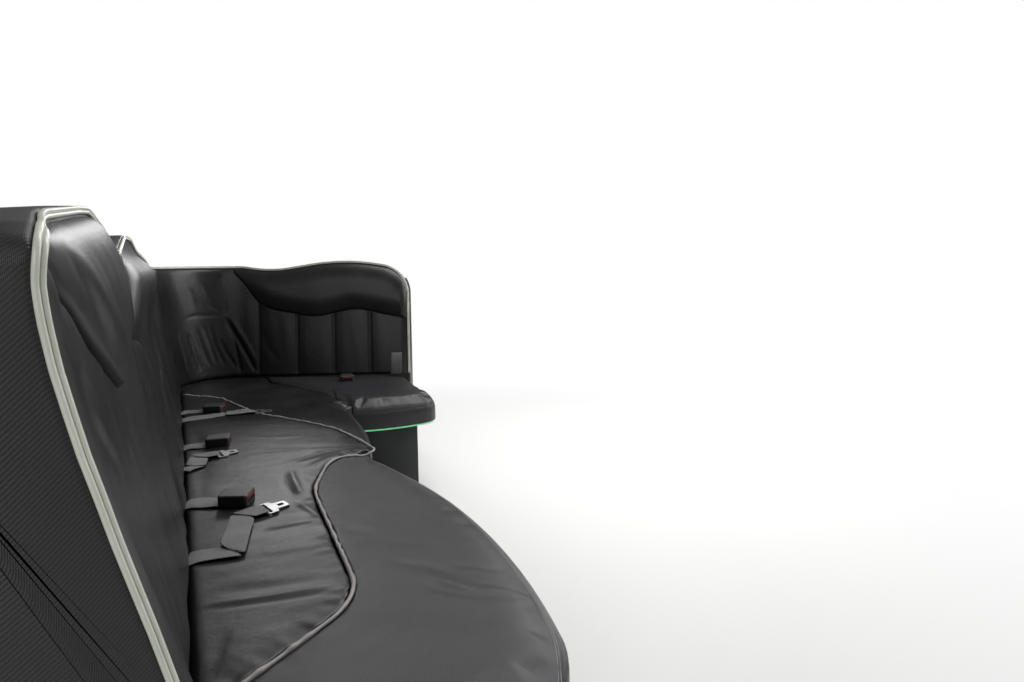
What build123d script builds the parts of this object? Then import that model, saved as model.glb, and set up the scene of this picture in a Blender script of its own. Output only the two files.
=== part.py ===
from build123d import *
from math import atan, cos, degrees, radians, sin, tan
import os

# Lounge bench seat of a stretched saloon car: a long side bench, a rounded corner and a short
# front bench, on a plywood base, with a wavy padded back and seat belts.
# X runs into the cabin from the foot of the side back, Y runs forward along the side bench
# from its near end, and Z runs up from the floor. Every size is in millimetres.
# On the back, "along" is measured on the back line and "rise" upwards from the cushion's edge.

# Seat heights
SEAT_HEIGHT = 400
CUSHION = 45
CUSHION_CROWN = 18
PAD_GAP = 4

# Plan of the back line, at the cushion
CORNER_Y = 2376
CORNER_RADIUS = 180
FRONT_SLANT = 24
FRONT_RUN = 1000

# Plan of the nose: each lobe is an arc through its widest point
NEAR_X = 425
NEAR_LOBE_X = 533
NEAR_LOBE_Y = 490
PINCH_X = 446
PINCH_Y = 1010
FAR_LOBE_X = 517
FAR_LOBE_Y = 1400
NOOK_X = 506
NOOK_Y = 1632
FRONT_NOSE_X = 725
FRONT_NOSE_Y = 1574
RIGHT_NOSE_X = 893
RIGHT_NOSE_Y = 1588
NEAR_ROUND = 150
PINCH_ROUND = 35
NOOK_ROUND = 45
RIGHT_ROUND = 70

# Base: plywood boards, a wrapped fascia and a light strip under it
BOARD = 15
KICK_RECESS = 80
FASCIA_INSET = 4
FASCIA = 18
FASCIA_HEIGHT = 60
STRIP_WIDTH = 8
STRIP_HEIGHT = 8
SIDE_RIBS = [400, 1000, 1600]
FRONT_RIBS = [573, 273]
RIB_REACH = 800

# Floor brackets
BRACKET_LEG = 44
BRACKET_WIDTH = 60
BRACKET = 4
BRACKET_X = (-60, 240)
FLOOR_HOLE = 4.5

# Back
BACK_DEPTH = 185
BACK_SET = 15
RECLINE = 6.5
END_PANEL = 20
END_REACH = 28
CORNER_RISE = 512
SIDE_LEVEL_ROUND = 900
FRONT_LEVEL_ROUND = 300

# Padding
PAD = 18
PAD_EDGE = 5
BOLSTER = 38
BOLSTER_EDGE = 7
PAD_INSET = 13
SEAM_GAP = 2
CHANNEL_VALLEY = 10
WELT_RADIUS = 4.5
WELT_INSET = 5
CUSHION_REAR = 7
CUSHION_GAP = 1.5
CUSHION_EDGE = 20
FIT = 0.3

# Belts
WEBBING_WIDTH = 48
WEBBING = 1.5
BELT_TAIL = 2
BUCKLE_LENGTH = 62
BUCKLE_WIDTH = 56
BUCKLE_NECK = 50
BUCKLE_HEIGHT = 24
BUCKLE_EDGE = 4
SLOT_WIDTH = 40
SLOT_HEIGHT = 5
SLOT_DEPTH = 36
SLOT_RISE = 5
BUTTON_WIDTH = 32
BUTTON_HEIGHT = 9
BUTTON_DEPTH = 16
BUTTON_RISE = 12
TONGUE = 3
TONGUE_WIDTH = 58
TONGUE_BAR = 7
TONGUE_SLOT = 8
TONGUE_SHOULDER = 12
BLADE_WIDTH = 34
BLADE_LENGTH = 26
BLADE_WINDOW = 12

# Top edge of the back: along, rise, rounding
SIDE_TOP = [
    (0, 524, 55),
    (290, 596, 700),
    (560, 616, 1500),
    (1010, 555, 780),
    (1275, 596, 1050),
    (1900, 532, 1500),
]
FRONT_TOP = [
    (110, 493, 500),
    (430, 548, 900),
]
FRONT_TOP_END = (505, 140)

# Crease under the side bolsters: along, rise, rounding
SIDE_CREASE = [
    (-60, 510, 0),
    (150, 472, 250),
    (372, 352, 90),
    (600, 428, 100),
    (860, 362, 400),
    (1190, 165, 250),
    (2010, 585, 0),
]
# Valley between the two side bolsters: along, rise
VALLEY = [(560, 300), (630, 420), (985, 580), (990, 900)]
# Crease under the front bolster: along, rise, rounding
FRONT_CREASE = [
    (-80, 560, 0),
    (60, 330, 160),
    (300, 280, 300),
    (480, 322, 200),
    (760, 262, 0),
]
# Sewn valleys between the upright channels of the front back: along
FRONT_VALLEYS = [56, 222, 384, 545]

# Seam between the inner pad and the lobes: x, y, rounding
SEAM = [
    (-60, 160, 0),
    (228, 335, 130),
    (250, 800, 300),
    (325, 985, 130),
    (470, 1030, 30),
    (400, 1300, 400),
    (215, 1590, 400),
    (130, 1900, 200),
    (-60, 2080, 0),
]
PINCH_SEAM = 4
# Seam between the far lobe and the front cushion: x, y
FRONT_SEAM = [(NOOK_X + 60, NOOK_Y - 60), (470, 1860), (345, 2140), (300, 2500)]

# Buckle straps: bench, along, heading in degrees, length from the back line
BUCKLES = [
    ("side", 862, -25, 73),
    ("side", 1290, -10, 56),
    ("side", 1715, -18, 70),
    ("front", 430, 14, 84),
]
# Lap straps: bench, along, then a heading and a length for each fold, the tongue on the last
LAPS = [
    ("side", 604, [(-15, 71), (78, 148), (15, 38)]),
    ("side", 1085, [(35, 30), (80, 62), (10, 40)]),
    ("side", 1600, [(5, 130), (-12, 90)]),
]
# Loose strap that leans on the front back: along, rise
LEANING = (636, 95)

# Worked out from the sizes above
BOARD_TOP = SEAT_HEIGHT - CUSHION
BOARD_BOTTOM = BOARD_TOP - BOARD
FASCIA_BOTTOM = BOARD_TOP - FASCIA_HEIGHT
CROWN_TOP = SEAT_HEIGHT + CUSHION_CROWN
PAD_RISE = CUSHION_CROWN + PAD_GAP
TURN = 90 + FRONT_SLANT
TANGENT = CORNER_RADIUS / tan(radians((90 - FRONT_SLANT) / 2))
SIDE_RUN = CORNER_Y - TANGENT
FRONT_LENGTH = FRONT_RUN - TANGENT
FRONT_END = SIDE_RUN + FRONT_LENGTH
PIVOT = Location((CORNER_RADIUS, SIDE_RUN, 0))
FRONT = PIVOT * Rot(0, 0, -TURN) * PIVOT.inverse()
LEAN = tan(radians(RECLINE))
OUTER = BACK_DEPTH + BOARD
PAD_START = END_PANEL + SEAM_GAP
END_RISE = SIDE_TOP[0][1] - SIDE_TOP[0][2]
END_SLOPE = (END_REACH + BACK_SET + LEAN * END_RISE) / (END_RISE - PAD_RISE)
TAIL = 150
REACH = 3000
CORNER_MIN = (Align.MIN, Align.MIN, Align.MIN)
ON_FLOOR = (Align.CENTER, Align.CENTER, Align.MIN)


def rounded(points):
    """Return the line through a table of points whose third column is the rounding."""
    corners = [(x, y) for x, y, _ in points]
    return FilletPolyline(*corners, radius=[r for _, _, r in points[1:-1]])


def polygon(*corners):
    """Return the face of a closed polygon."""
    return make_face(Polyline(*corners, close=True))


def slab(face, bottom, top):
    """Return a flat face of the plan as a solid between two heights."""
    return extrude(Pos(0, 0, bottom) * face, amount=top - bottom)


def tall(*corners):
    """Return a solid over a polygon of the plan, taller than the seat."""
    return slab(polygon(*corners), -TAIL, REACH)


# The plan

def back_edges(out):
    """Return the back line in plan, moved outwards, from the near end to the right end."""
    centre = Vector(CORNER_RADIUS, SIDE_RUN)
    radius = CORNER_RADIUS + out
    bend, middle, leave = [centre + Vector(radius, 0).rotate(Axis.Z, angle)
                           for angle in (180, 180 - TURN / 2, 180 - TURN)]
    end = leave + Vector(FRONT_LENGTH, 0).rotate(Axis.Z, -FRONT_SLANT)
    return [Line(Vector(-out, 0), bend), ThreePointArc(bend, middle, leave), Line(leave, end)]


def outline(rear):
    """Return the seat's plan as a face, its rear edge moved outwards from the back line."""
    back = back_edges(rear)
    near = (NEAR_X, 0)
    pinch = (PINCH_X, PINCH_Y)
    nook = (NOOK_X, NOOK_Y)
    right = (RIGHT_NOSE_X, RIGHT_NOSE_Y)
    nose = [
        Line(back[0] @ 0, near),
        ThreePointArc(near, (NEAR_LOBE_X, NEAR_LOBE_Y), pinch),
        ThreePointArc(pinch, (FAR_LOBE_X, FAR_LOBE_Y), nook),
        ThreePointArc(nook, (FRONT_NOSE_X, FRONT_NOSE_Y), right),
        Line(right, back[2] @ 1),
    ]
    face = Face(Wire(nose + back))
    rounds = [(near, NEAR_ROUND), (pinch, PINCH_ROUND), (nook, NOOK_ROUND), (right, RIGHT_ROUND)]
    for corner, radius in rounds:
        vertex = face.vertices().sort_by_distance((*corner, 0))[0]
        face = fillet(vertex, radius).face()
    return face


def plan(inset, rear):
    """Return the plan with its nose and both ends inset, and its rear edge at rear."""
    if inset == 0:
        return outline(rear)
    return offset(outline(rear + inset), amount=-inset).face()


def band(outer, inner, bottom, top):
    """Return an upright strip that follows the nose and both ends between two insets."""
    return slab(plan(outer, BACK_DEPTH), bottom, top) - slab(plan(inner, BACK_DEPTH), bottom, top)


def front_side(shift=0):
    """Return the space over the front bench, its seam moved by shift."""
    seam = [(x + shift, y) for x, y in FRONT_SEAM]
    return tall(*seam, (REACH, REACH), (REACH, 0), (NOOK_X + 60, 0))


def end_panel_space(clearance):
    """Return the space of the near end panel with a clearance round it."""
    size = (OUTER + END_REACH + clearance, END_PANEL + clearance, REACH)
    return Pos(-OUTER, 0, 0) * Box(*size, align=CORNER_MIN)


# The back, drawn straight along Y and turned into place for the front bench

def place(bench, shape):
    """Return a shape of a straight run, turned into place for the front bench."""
    return FRONT * shape if bench == "front" else shape


def back_plane(gap):
    """Return the reclined plane of the back's front, moved into the cabin by gap."""
    normal = Vector(cos(radians(RECLINE)), 0, sin(radians(RECLINE)))
    foot = Vector(-BACK_SET, 0, SEAT_HEIGHT) + normal * gap
    return Plane(origin=foot, x_dir=(0, 1, 0), z_dir=normal)


def on_back(face, thickness, gap=FIT):
    """Return a face of along and rise as a pad that lies on the back's front."""
    return extrude(back_plane(gap) * face, amount=thickness)


def upright(face):
    """Return a face of along and rise as a solid right across the back."""
    plane = Plane(origin=(-REACH, 0, SEAT_HEIGHT), x_dir=(0, 1, 0), z_dir=(1, 0, 0))
    return extrude(plane * face, amount=2 * REACH)


def section(front, rear, bottom, top):
    """Return a section across the back between two faces, each a depth at the seat and a lean."""
    corners = [(-depth - lean * (z - SEAT_HEIGHT), z)
               for (depth, lean), z in [(front, bottom), (front, top), (rear, top), (rear, bottom)]]
    return Plane.XZ * polygon(*corners)


def run_of(face, start, end):
    """Return a section carried along a straight run between two distances."""
    return extrude(Pos(0, start, 0) * face, amount=start - end)


def corner_of(face):
    """Return a section carried round the seat's corner."""
    axis = Axis((CORNER_RADIUS, SIDE_RUN, 0), (0, 0, -1))
    return revolve(Pos(0, SIDE_RUN, 0) * face, axis, revolution_arc=TURN)


def top_edge(bench):
    """Return the points of a bench's top edge, with a level tail past the corner."""
    if bench == "side":
        level = [(SIDE_RUN, CORNER_RISE, SIDE_LEVEL_ROUND), (SIDE_RUN + TAIL, CORNER_RISE, 0)]
        return [(0, -REACH, 0), *SIDE_TOP, *level]
    level = [(SIDE_RUN - TAIL, CORNER_RISE, 0), (SIDE_RUN, CORNER_RISE, FRONT_LEVEL_ROUND)]
    rise, rounding = FRONT_TOP_END
    wave = [(SIDE_RUN + along, z, r) for along, z, r in FRONT_TOP]
    return [*level, *wave, (FRONT_END, rise, rounding), (FRONT_END, -REACH, 0)]


def under_top(bench, inset=0, bottom=-SEAT_HEIGHT, margin=0, end=0):
    """Return the face under a bench's top edge.

    It is inset from the top edge and the free end, starts at a rise of bottom, stops short of
    the corner by margin, and stays at least end away from the free end.
    """
    wave = rounded(top_edge(bench))
    corner = SIDE_RUN + TAIL if bench == "side" else SIDE_RUN - TAIL
    free = 0 if bench == "side" else FRONT_END
    base = Polyline((free, -REACH), (corner, -REACH), (corner, CORNER_RISE))
    face = make_face([*wave.edges(), *base.edges()])
    if inset:
        face = offset(face, amount=-inset)
    low, high = (end, SIDE_RUN - margin) if bench == "side" else (SIDE_RUN + margin, FRONT_END - end)
    return face & polygon((low, bottom), (high, bottom), (high, REACH), (low, REACH))


def make_base():
    """Return the plywood base: kick panels, seat boards, ribs, fascia bands and light strips."""
    clear = end_panel_space(FIT)
    cabin = slab(plan(0, -FIT), 0, BOARD_TOP) - clear
    middle = FASCIA_INSET + FASCIA / 2
    strip = STRIP_WIDTH / 2
    shapes = {
        "kick_panel": band(KICK_RECESS, KICK_RECESS + BOARD, 0, BOARD_BOTTOM),
        "seat_board": slab(plan(FASCIA_INSET + FASCIA + FIT, CUSHION_REAR), BOARD_BOTTOM, BOARD_TOP) - clear,
        "fascia": band(FASCIA_INSET, FASCIA_INSET + FASCIA, FASCIA_BOTTOM, BOARD_TOP) & cabin,
        "light_strip": band(middle - strip, middle + strip, FASCIA_BOTTOM - STRIP_HEIGHT, FASCIA_BOTTOM) & cabin,
    }
    parts = {}
    for name, shape in shapes.items():
        parts["side_" + name] = shape - front_side()
        parts["front_" + name] = shape & front_side()
    inside = slab(plan(KICK_RECESS + BOARD + FIT, BACK_DEPTH), 0, BOARD_BOTTOM)
    rib = Pos(-BACK_DEPTH, 0, 0) * Box(RIB_REACH, BOARD, BOARD_BOTTOM, align=CORNER_MIN)
    side = [Pos(0, y, 0) * rib & inside for y in SIDE_RIBS]
    front = [FRONT * Pos(0, FRONT_END - y, 0) * rib & inside & front_side() for y in FRONT_RIBS]
    parts["side_ribs"] = Compound([rib.solids().sort_by(SortBy.VOLUME)[-1] for rib in side])
    parts["front_ribs"] = Compound([rib.solids().sort_by(SortBy.VOLUME)[-1] for rib in front])
    return parts


def floor_bracket(x, y):
    """Return a steel angle that fastens a rib to the floor, its foot's hole at x and y."""
    foot = Box(BRACKET_WIDTH, BRACKET_LEG, BRACKET, align=ON_FLOOR) - Cylinder(FLOOR_HOLE, BRACKET_LEG)
    leg = Box(BRACKET_WIDTH, BRACKET, BRACKET_LEG, align=ON_FLOOR)
    return Pos(x, y, 0) * (foot + Pos(0, (BRACKET - BRACKET_LEG) / 2, 0) * leg)


def make_brackets():
    """Return the floor brackets, two on each outer rib of the side bench."""
    reach = BOARD + FIT + BRACKET_LEG / 2
    angles = [floor_bracket(x, y + reach) for y in (SIDE_RIBS[0], SIDE_RIBS[-1]) for x in BRACKET_X]
    return {"floor_brackets": Compound(angles)}


def make_cushions():
    """Return the seat's cushions: the inner pad, the two lobes and the front cushion."""
    block = slab(plan(0, CUSHION_REAR), BOARD_TOP + FIT, CROWN_TOP)
    block = fillet(block.edges().group_by(Axis.Z)[-1], CUSHION_EDGE) - end_panel_space(CUSHION_GAP)
    seam = rounded(SEAM)
    rear = Polyline(seam @ 1, (-REACH, 2080), (-REACH, 160), seam @ 0)
    leaf = make_face([*seam.edges(), *rear.edges()])
    half = CUSHION_GAP / 2
    inner = slab(offset(leaf, amount=-half), 0, REACH)
    outer = slab(offset(leaf, amount=half), 0, REACH)
    pinch = SEAM[PINCH_SEAM][1]
    near = tall((-REACH, -REACH), (REACH, -REACH), (REACH, pinch - half), (-REACH, pinch - half))
    far = tall((-REACH, REACH), (REACH, REACH), (REACH, pinch + half), (-REACH, pinch + half))
    lobes = block - outer
    return {
        "inner_pad": block & inner,
        "near_lobe": lobes & near,
        "far_lobe": (lobes & far) - front_side(-CUSHION_GAP),
        "front_cushion": lobes & front_side(),
    }


def make_back():
    """Return the back's rear boards, its wrapped shells and its two end panels."""
    rear = section((BACK_DEPTH, 0), (OUTER, 0), 0, REACH)
    shell = section((BACK_SET, LEAN), (BACK_DEPTH - FIT, 0), BOARD_BOTTOM, REACH)
    parts = {}
    for bench, start, end in [("side", END_PANEL + FIT, SIDE_RUN),
                              ("front", SIDE_RUN, FRONT_END - END_PANEL - FIT)]:
        under = upright(under_top(bench))
        parts[bench + "_back_board"] = place(bench, run_of(rear, start, end) & under)
        parts[bench + "_back_shell"] = place(bench, run_of(shell, start, end) & under)
    parts["corner_back_board"] = corner_of(section((BACK_DEPTH, 0), (OUTER, 0), 0, SEAT_HEIGHT + CORNER_RISE))
    parts["corner_back_shell"] = corner_of(section((BACK_SET, LEAN), (BACK_DEPTH - FIT, 0), BOARD_BOTTOM,
                                                   SEAT_HEIGHT + CORNER_RISE))
    foot = SEAT_HEIGHT + PAD_RISE
    near = Plane.XZ * polygon((-OUTER, 0), (END_REACH, 0), (END_REACH, foot),
                              (-OUTER, foot + (END_REACH + OUTER) / END_SLOPE))
    parts["near_end_panel"] = run_of(near, 0, END_PANEL) & upright(under_top("side"))
    low = BOARD_BOTTOM - FIT
    right = section((BACK_SET, LEAN), (OUTER, 0), low, REACH)
    leg = Plane.XZ * polygon((-OUTER, 0), (-KICK_RECESS, 0), (-KICK_RECESS, low), (-OUTER, low))
    panel = run_of(right, FRONT_END - END_PANEL, FRONT_END) + run_of(leg, FRONT_END - END_PANEL, FRONT_END)
    parts["right_end_panel"] = FRONT * (panel & upright(under_top("front")))
    return parts


def soften(shape, radius):
    """Return a pad on the back with the edges of its front rounded."""
    normal = back_plane(0).z_dir
    front = max(shape.faces(), key=lambda face: face.center().dot(normal))
    return fillet(front.edges(), radius)


def above_crease(points):
    """Return the face above a crease, from a table of along, rise and rounding."""
    edge = rounded(points)
    over = Polyline(edge @ 1, (REACH, 2 * REACH), (-REACH, 2 * REACH), edge @ 0)
    return make_face([*edge.edges(), *over.edges()])


def side_padding():
    """Return the pads of the side back: a low pad under two bolsters that meet at a valley."""
    under = under_top("side", PAD_INSET, PAD_RISE, 0, PAD_START)
    half = SEAM_GAP / 2
    above = above_crease(SIDE_CREASE)
    upper = under & offset(above, amount=-half)
    left = polygon((-REACH, VALLEY[0][1]), *[(x - half, z) for x, z in VALLEY], (-REACH, VALLEY[-1][1]))
    right = polygon((REACH, VALLEY[0][1]), *[(x + half, z) for x, z in VALLEY], (REACH, VALLEY[-1][1]))
    return {
        "side_lower_pad": soften(on_back(under - offset(above, amount=half), PAD), PAD_EDGE),
        "near_bolster": soften(on_back(upper & left, BOLSTER), BOLSTER_EDGE),
        "far_bolster": soften(on_back(upper & right, BOLSTER), BOLSTER_EDGE),
    }


def channels():
    """Return upright channels on the front back, each crowned between its sewn valleys."""
    valleys = [SIDE_RUN + along for along in [0, *FRONT_VALLEYS]] + [FRONT_END]
    tops = [ThreePointArc((low, -CHANNEL_VALLEY), ((low + high) / 2, -PAD), (high, -CHANNEL_VALLEY))
            for low, high in zip(valleys, valleys[1:])]
    rear = Polyline((FRONT_END, -CHANNEL_VALLEY), (FRONT_END, 0), (SIDE_RUN, 0), (SIDE_RUN, -CHANNEL_VALLEY))
    face = back_plane(FIT)
    plane = Plane(origin=face.origin, x_dir=face.x_dir, z_dir=face.y_dir)
    return extrude(plane * make_face([*tops, *rear.edges()]), amount=REACH)


def front_padding():
    """Return the pads of the front back: upright channels under one bolster."""
    under = under_top("front", PAD_INSET, PAD_RISE, SEAM_GAP, PAD_START)
    half = SEAM_GAP / 2
    above = above_crease([(SIDE_RUN + along, z, r) for along, z, r in FRONT_CREASE])
    return {
        "front_lower_pad": FRONT * (on_back(under - offset(above, amount=half), PAD) & channels()),
        "front_bolster": FRONT * soften(on_back(under & offset(above, amount=-half), BOLSTER),
                                        BOLSTER_EDGE),
    }


def make_padding():
    """Return every pad of the back."""
    top = SEAT_HEIGHT + CORNER_RISE - PAD_INSET
    face = section((BACK_SET - PAD, LEAN), (BACK_SET - FIT, LEAN), SEAT_HEIGHT + PAD_RISE, top)
    return {**side_padding(), **front_padding(), "corner_pad": corner_of(face)}


def bead(path):
    """Return a welt along a line."""
    start = Plane(origin=path @ 0, z_dir=path % 0)
    return sweep(start * RegularPolygon(WELT_RADIUS, 8), path=path)


def top_welt(bench, bottom):
    """Return the welt along a bench's top edge and down its free end to a rise of bottom."""
    face = under_top(bench, WELT_INSET, bottom, SEAM_GAP)
    edges = [edge for edge in face.edges()
             if abs(edge.center().X - SIDE_RUN) > SEAM_GAP + 1 and edge.center().Y > bottom + 1]
    return place(bench, bead(back_plane(WELT_RADIUS + FIT) * Wire(edges)))


def make_welts():
    """Return the light welts that edge the back's front."""
    out = (WELT_RADIUS + FIT) / cos(atan(END_SLOPE))
    low = Vector(END_REACH + out, WELT_INSET, SEAT_HEIGHT + PAD_RISE)
    rise = (END_RISE - PAD_RISE) * cos(radians(RECLINE)) - 2 * SEAM_GAP
    rise_top = low + Vector(-END_SLOPE * rise, 0, rise)
    top = CORNER_RISE - WELT_INSET
    centre = Pos(-BACK_SET - LEAN * top + WELT_RADIUS + FIT, 0, SEAT_HEIGHT + top)
    return {
        "side_welt": top_welt("side", END_RISE),
        "front_welt": top_welt("front", PAD_RISE),
        "corner_welt": corner_of(centre * (Plane.XZ * RegularPolygon(WELT_RADIUS, 8))),
        "near_end_welt": bead(Line(low, rise_top)),
    }


# The belts lie on the cushions, one layer of webbing on another at each fold

def strip(x, y, heading, length, level):
    """Return a flat strip of webbing from a point in the plan, on a level of the folds."""
    flat = Box(length, WEBBING_WIDTH, WEBBING, align=(Align.MIN, Align.CENTER, Align.MIN))
    return Pos(x, y, CROWN_TOP + FIT + level * WEBBING) * Rot(0, 0, heading) * flat


def buckle():
    """Return a buckle's housing and its button, the mouth at X = 0 and the webbing behind."""
    mouth, neck = BUCKLE_WIDTH / 2, BUCKLE_NECK / 2
    body = polygon((0, -mouth), (0, mouth), (-BUCKLE_LENGTH, neck), (-BUCKLE_LENGTH, -neck))
    housing = extrude(fillet(body.vertices(), 2 * BUCKLE_EDGE), amount=BUCKLE_HEIGHT)
    housing = fillet(housing.edges().group_by(Axis.Z)[-1], BUCKLE_EDGE)
    slot = Pos(0, 0, SLOT_RISE) * Box(2 * SLOT_DEPTH, SLOT_WIDTH, SLOT_HEIGHT, align=ON_FLOOR)
    well = Pos(0, 0, BUTTON_RISE) * Box(2 * BUTTON_DEPTH, BUTTON_WIDTH, BUTTON_HEIGHT, align=ON_FLOOR)
    button = Box(BUTTON_DEPTH - FIT, BUTTON_WIDTH - 2 * FIT, BUTTON_HEIGHT - 2 * FIT,
                 align=(Align.MAX, Align.CENTER, Align.MIN))
    mouth_edge = button.edges().filter_by(Axis.Y).group_by(Axis.X)[-1]
    return housing - slot - well, Pos(0, 0, BUTTON_RISE + FIT) * fillet(mouth_edge, 2)


def tongue():
    """Return a tongue: a bar and slot for the webbing, a shoulder, and a blade with its window."""
    back = TONGUE_BAR + TONGUE_SLOT + TONGUE_SHOULDER
    half, blade = TONGUE_WIDTH / 2, BLADE_WIDTH / 2
    body = fillet(polygon((0, -half), (back, -half), (back, half), (0, half)).vertices(), TONGUE_BAR)
    point = polygon((back - 1, -blade), (back + BLADE_LENGTH, -blade + 3), (back + BLADE_LENGTH, blade - 3),
                    (back - 1, blade))
    slot = Pos(TONGUE_BAR + TONGUE_SLOT / 2, 0) * SlotOverall(WEBBING_WIDTH + 2, TONGUE_SLOT, rotation=90)
    window = Pos(back + BLADE_LENGTH / 2, 0) * Rectangle(BLADE_WINDOW, BLADE_WINDOW)
    return extrude(body + point - slot - window, amount=TONGUE)


def make_belts():
    """Return the seat belts: webbing, buckles, buttons and tongues, each kind in one node."""
    webbing, housings, buttons, tongues = [], [], [], []
    housing, button = buckle()
    for bench, along, heading, length in BUCKLES:
        y = along + (SIDE_RUN if bench == "front" else 0)
        webbing.append(place(bench, strip(-BELT_TAIL, y, heading, length + BELT_TAIL, 0)))
        reach = length + BELT_TAIL + FIT + BUCKLE_LENGTH
        spot = Pos(-BELT_TAIL, y, CROWN_TOP + FIT) * Rot(0, 0, heading) * Pos(reach, 0, 0)
        housings.append(place(bench, spot * housing))
        buttons.append(place(bench, spot * button))
    for bench, along, folds in LAPS:
        x, y = -BELT_TAIL, along
        layers = []
        for level, (heading, length) in enumerate(folds):
            layers.append(strip(x, y, heading, length, level))
            x += length * cos(radians(heading))
            y += length * sin(radians(heading))
        webbing.append(place(bench, layers[0].fuse(*layers[1:])))
        spot = Pos(x, y, CROWN_TOP + FIT) * Rot(0, 0, folds[-1][0]) * Pos(FIT, 0, 0)
        tongues.append(place(bench, spot * tongue()))
    along, rise = LEANING
    low, high = SIDE_RUN + along, SIDE_RUN + along + WEBBING_WIDTH
    leaning = polygon((low, PAD_RISE), (high, PAD_RISE), (high, rise), (low, rise))
    webbing.append(FRONT * on_back(leaning, WEBBING, PAD + 2 * FIT))
    return {
        "belt_webbing": Compound(webbing),
        "belt_buckles": Compound(housings),
        "belt_buttons": Compound(buttons),
        "belt_tongues": Compound(tongues),
    }


def main():
    """Build every piece, centre the seat on its bounding box and write each piece to a file."""
    os.makedirs("parts", exist_ok=True)
    parts = {}
    for group in (make_base, make_brackets, make_cushions, make_back, make_padding, make_welts, make_belts):
        parts.update(group())
    middle = Compound(list(parts.values())).bounding_box().center()
    for name, shape in parts.items():
        export_step(Pos(-middle.X, -middle.Y, 0) * shape, f"parts/{name}.step")


main()
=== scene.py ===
import logging
import math
from collections.abc import Callable, Sequence
from dataclasses import dataclass
from enum import Enum

import bmesh
import bpy
import numpy as np
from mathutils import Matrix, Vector


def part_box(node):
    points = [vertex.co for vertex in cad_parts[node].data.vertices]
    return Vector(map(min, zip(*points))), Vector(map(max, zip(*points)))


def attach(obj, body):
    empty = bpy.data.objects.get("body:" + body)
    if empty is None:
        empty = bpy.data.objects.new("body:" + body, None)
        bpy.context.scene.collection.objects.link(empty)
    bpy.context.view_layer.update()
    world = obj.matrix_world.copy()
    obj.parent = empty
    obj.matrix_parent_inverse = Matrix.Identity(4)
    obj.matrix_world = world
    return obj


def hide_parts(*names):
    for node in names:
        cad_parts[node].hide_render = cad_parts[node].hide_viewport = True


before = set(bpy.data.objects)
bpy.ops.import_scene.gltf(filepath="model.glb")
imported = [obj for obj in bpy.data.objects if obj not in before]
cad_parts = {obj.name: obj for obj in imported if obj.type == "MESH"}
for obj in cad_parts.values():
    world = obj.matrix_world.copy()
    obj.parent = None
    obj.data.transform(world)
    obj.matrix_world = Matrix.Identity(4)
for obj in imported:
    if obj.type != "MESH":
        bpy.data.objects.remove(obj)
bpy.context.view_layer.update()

# Lounge bench seat of a stretched saloon car: upholstery, piping, belts and finishes round the
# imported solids. "Seat axes" start at the foot of the side back's near end: X into the cabin, Y
# forward, Z up. "Along" is measured on the foot of the back, round the corner, and "rise" is
# the height above the cushions' edge. Lengths are in metres, and the tables in millimetres.

log = logging.getLogger("lounge_bench")
Array = np.ndarray
Piece = bpy.types.Object
Pair = tuple[float, float]
Triple = tuple[float, float, float]
MM = 0.001


class Slot(Enum):
    """The record's material slots."""

    LEATHER = "black_leather"
    VINYL = "carbon_vinyl"
    PIPING = "light_piping"
    STRIP = "light_strip"
    ZINC = "zinc_steel"
    CARPET = "kick_carpet"
    WEBBING = "belt_webbing"
    STEEL = "bright_steel"
    BUTTON = "red_button"
    PLASTIC = "black_plastic"
    PLYWOOD = "plywood"


# Numbers and lines


def ease(t: Array) -> Array:
    """Return t eased from 0 to 1, level at both ends."""
    t = np.clip(t, 0.0, 1.0)
    return t * t * (3.0 - 2.0 * t)


def step_up(value: Array, limits: Pair) -> Array:
    """Return a value's place between two limits, eased from 0 to 1."""
    return ease((np.asarray(value) - limits[0]) / (limits[1] - limits[0]))


def bell(distance: Array, width: float) -> Array:
    """Return a bell curve that is 1 at distance 0 and falls off over width."""
    return np.exp(-np.square(distance / width))


def unit(vectors: Array) -> Array:
    """Return vectors scaled to a length of 1."""
    return vectors / np.maximum(np.linalg.norm(vectors, axis=-1, keepdims=True), 1e-12)


def run_of(line: Array) -> Array:
    """Return how far along a line each of its points is."""
    return np.concatenate([[0.0], np.cumsum(np.linalg.norm(np.diff(line, axis=0), axis=1))])


def to_right(directions: Array) -> Array:
    """Return directions of the plane turned a quarter to the right."""
    return unit(directions) @ np.array([[0.0, -1.0], [1.0, 0.0]])


def resample(line: Array, step: float) -> Array:
    """Space a line's points evenly.

    Args:
        line: points of the line, one in each row.
        step: the wanted distance between points.

    Returns:
        The same line with evenly spaced points.
    """
    run = run_of(line)
    at = np.linspace(0.0, run[-1], max(2, int(round(run[-1] / step)) + 1))
    return np.stack([np.interp(at, run, line[:, k]) for k in range(line.shape[1])], axis=1)


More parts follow.
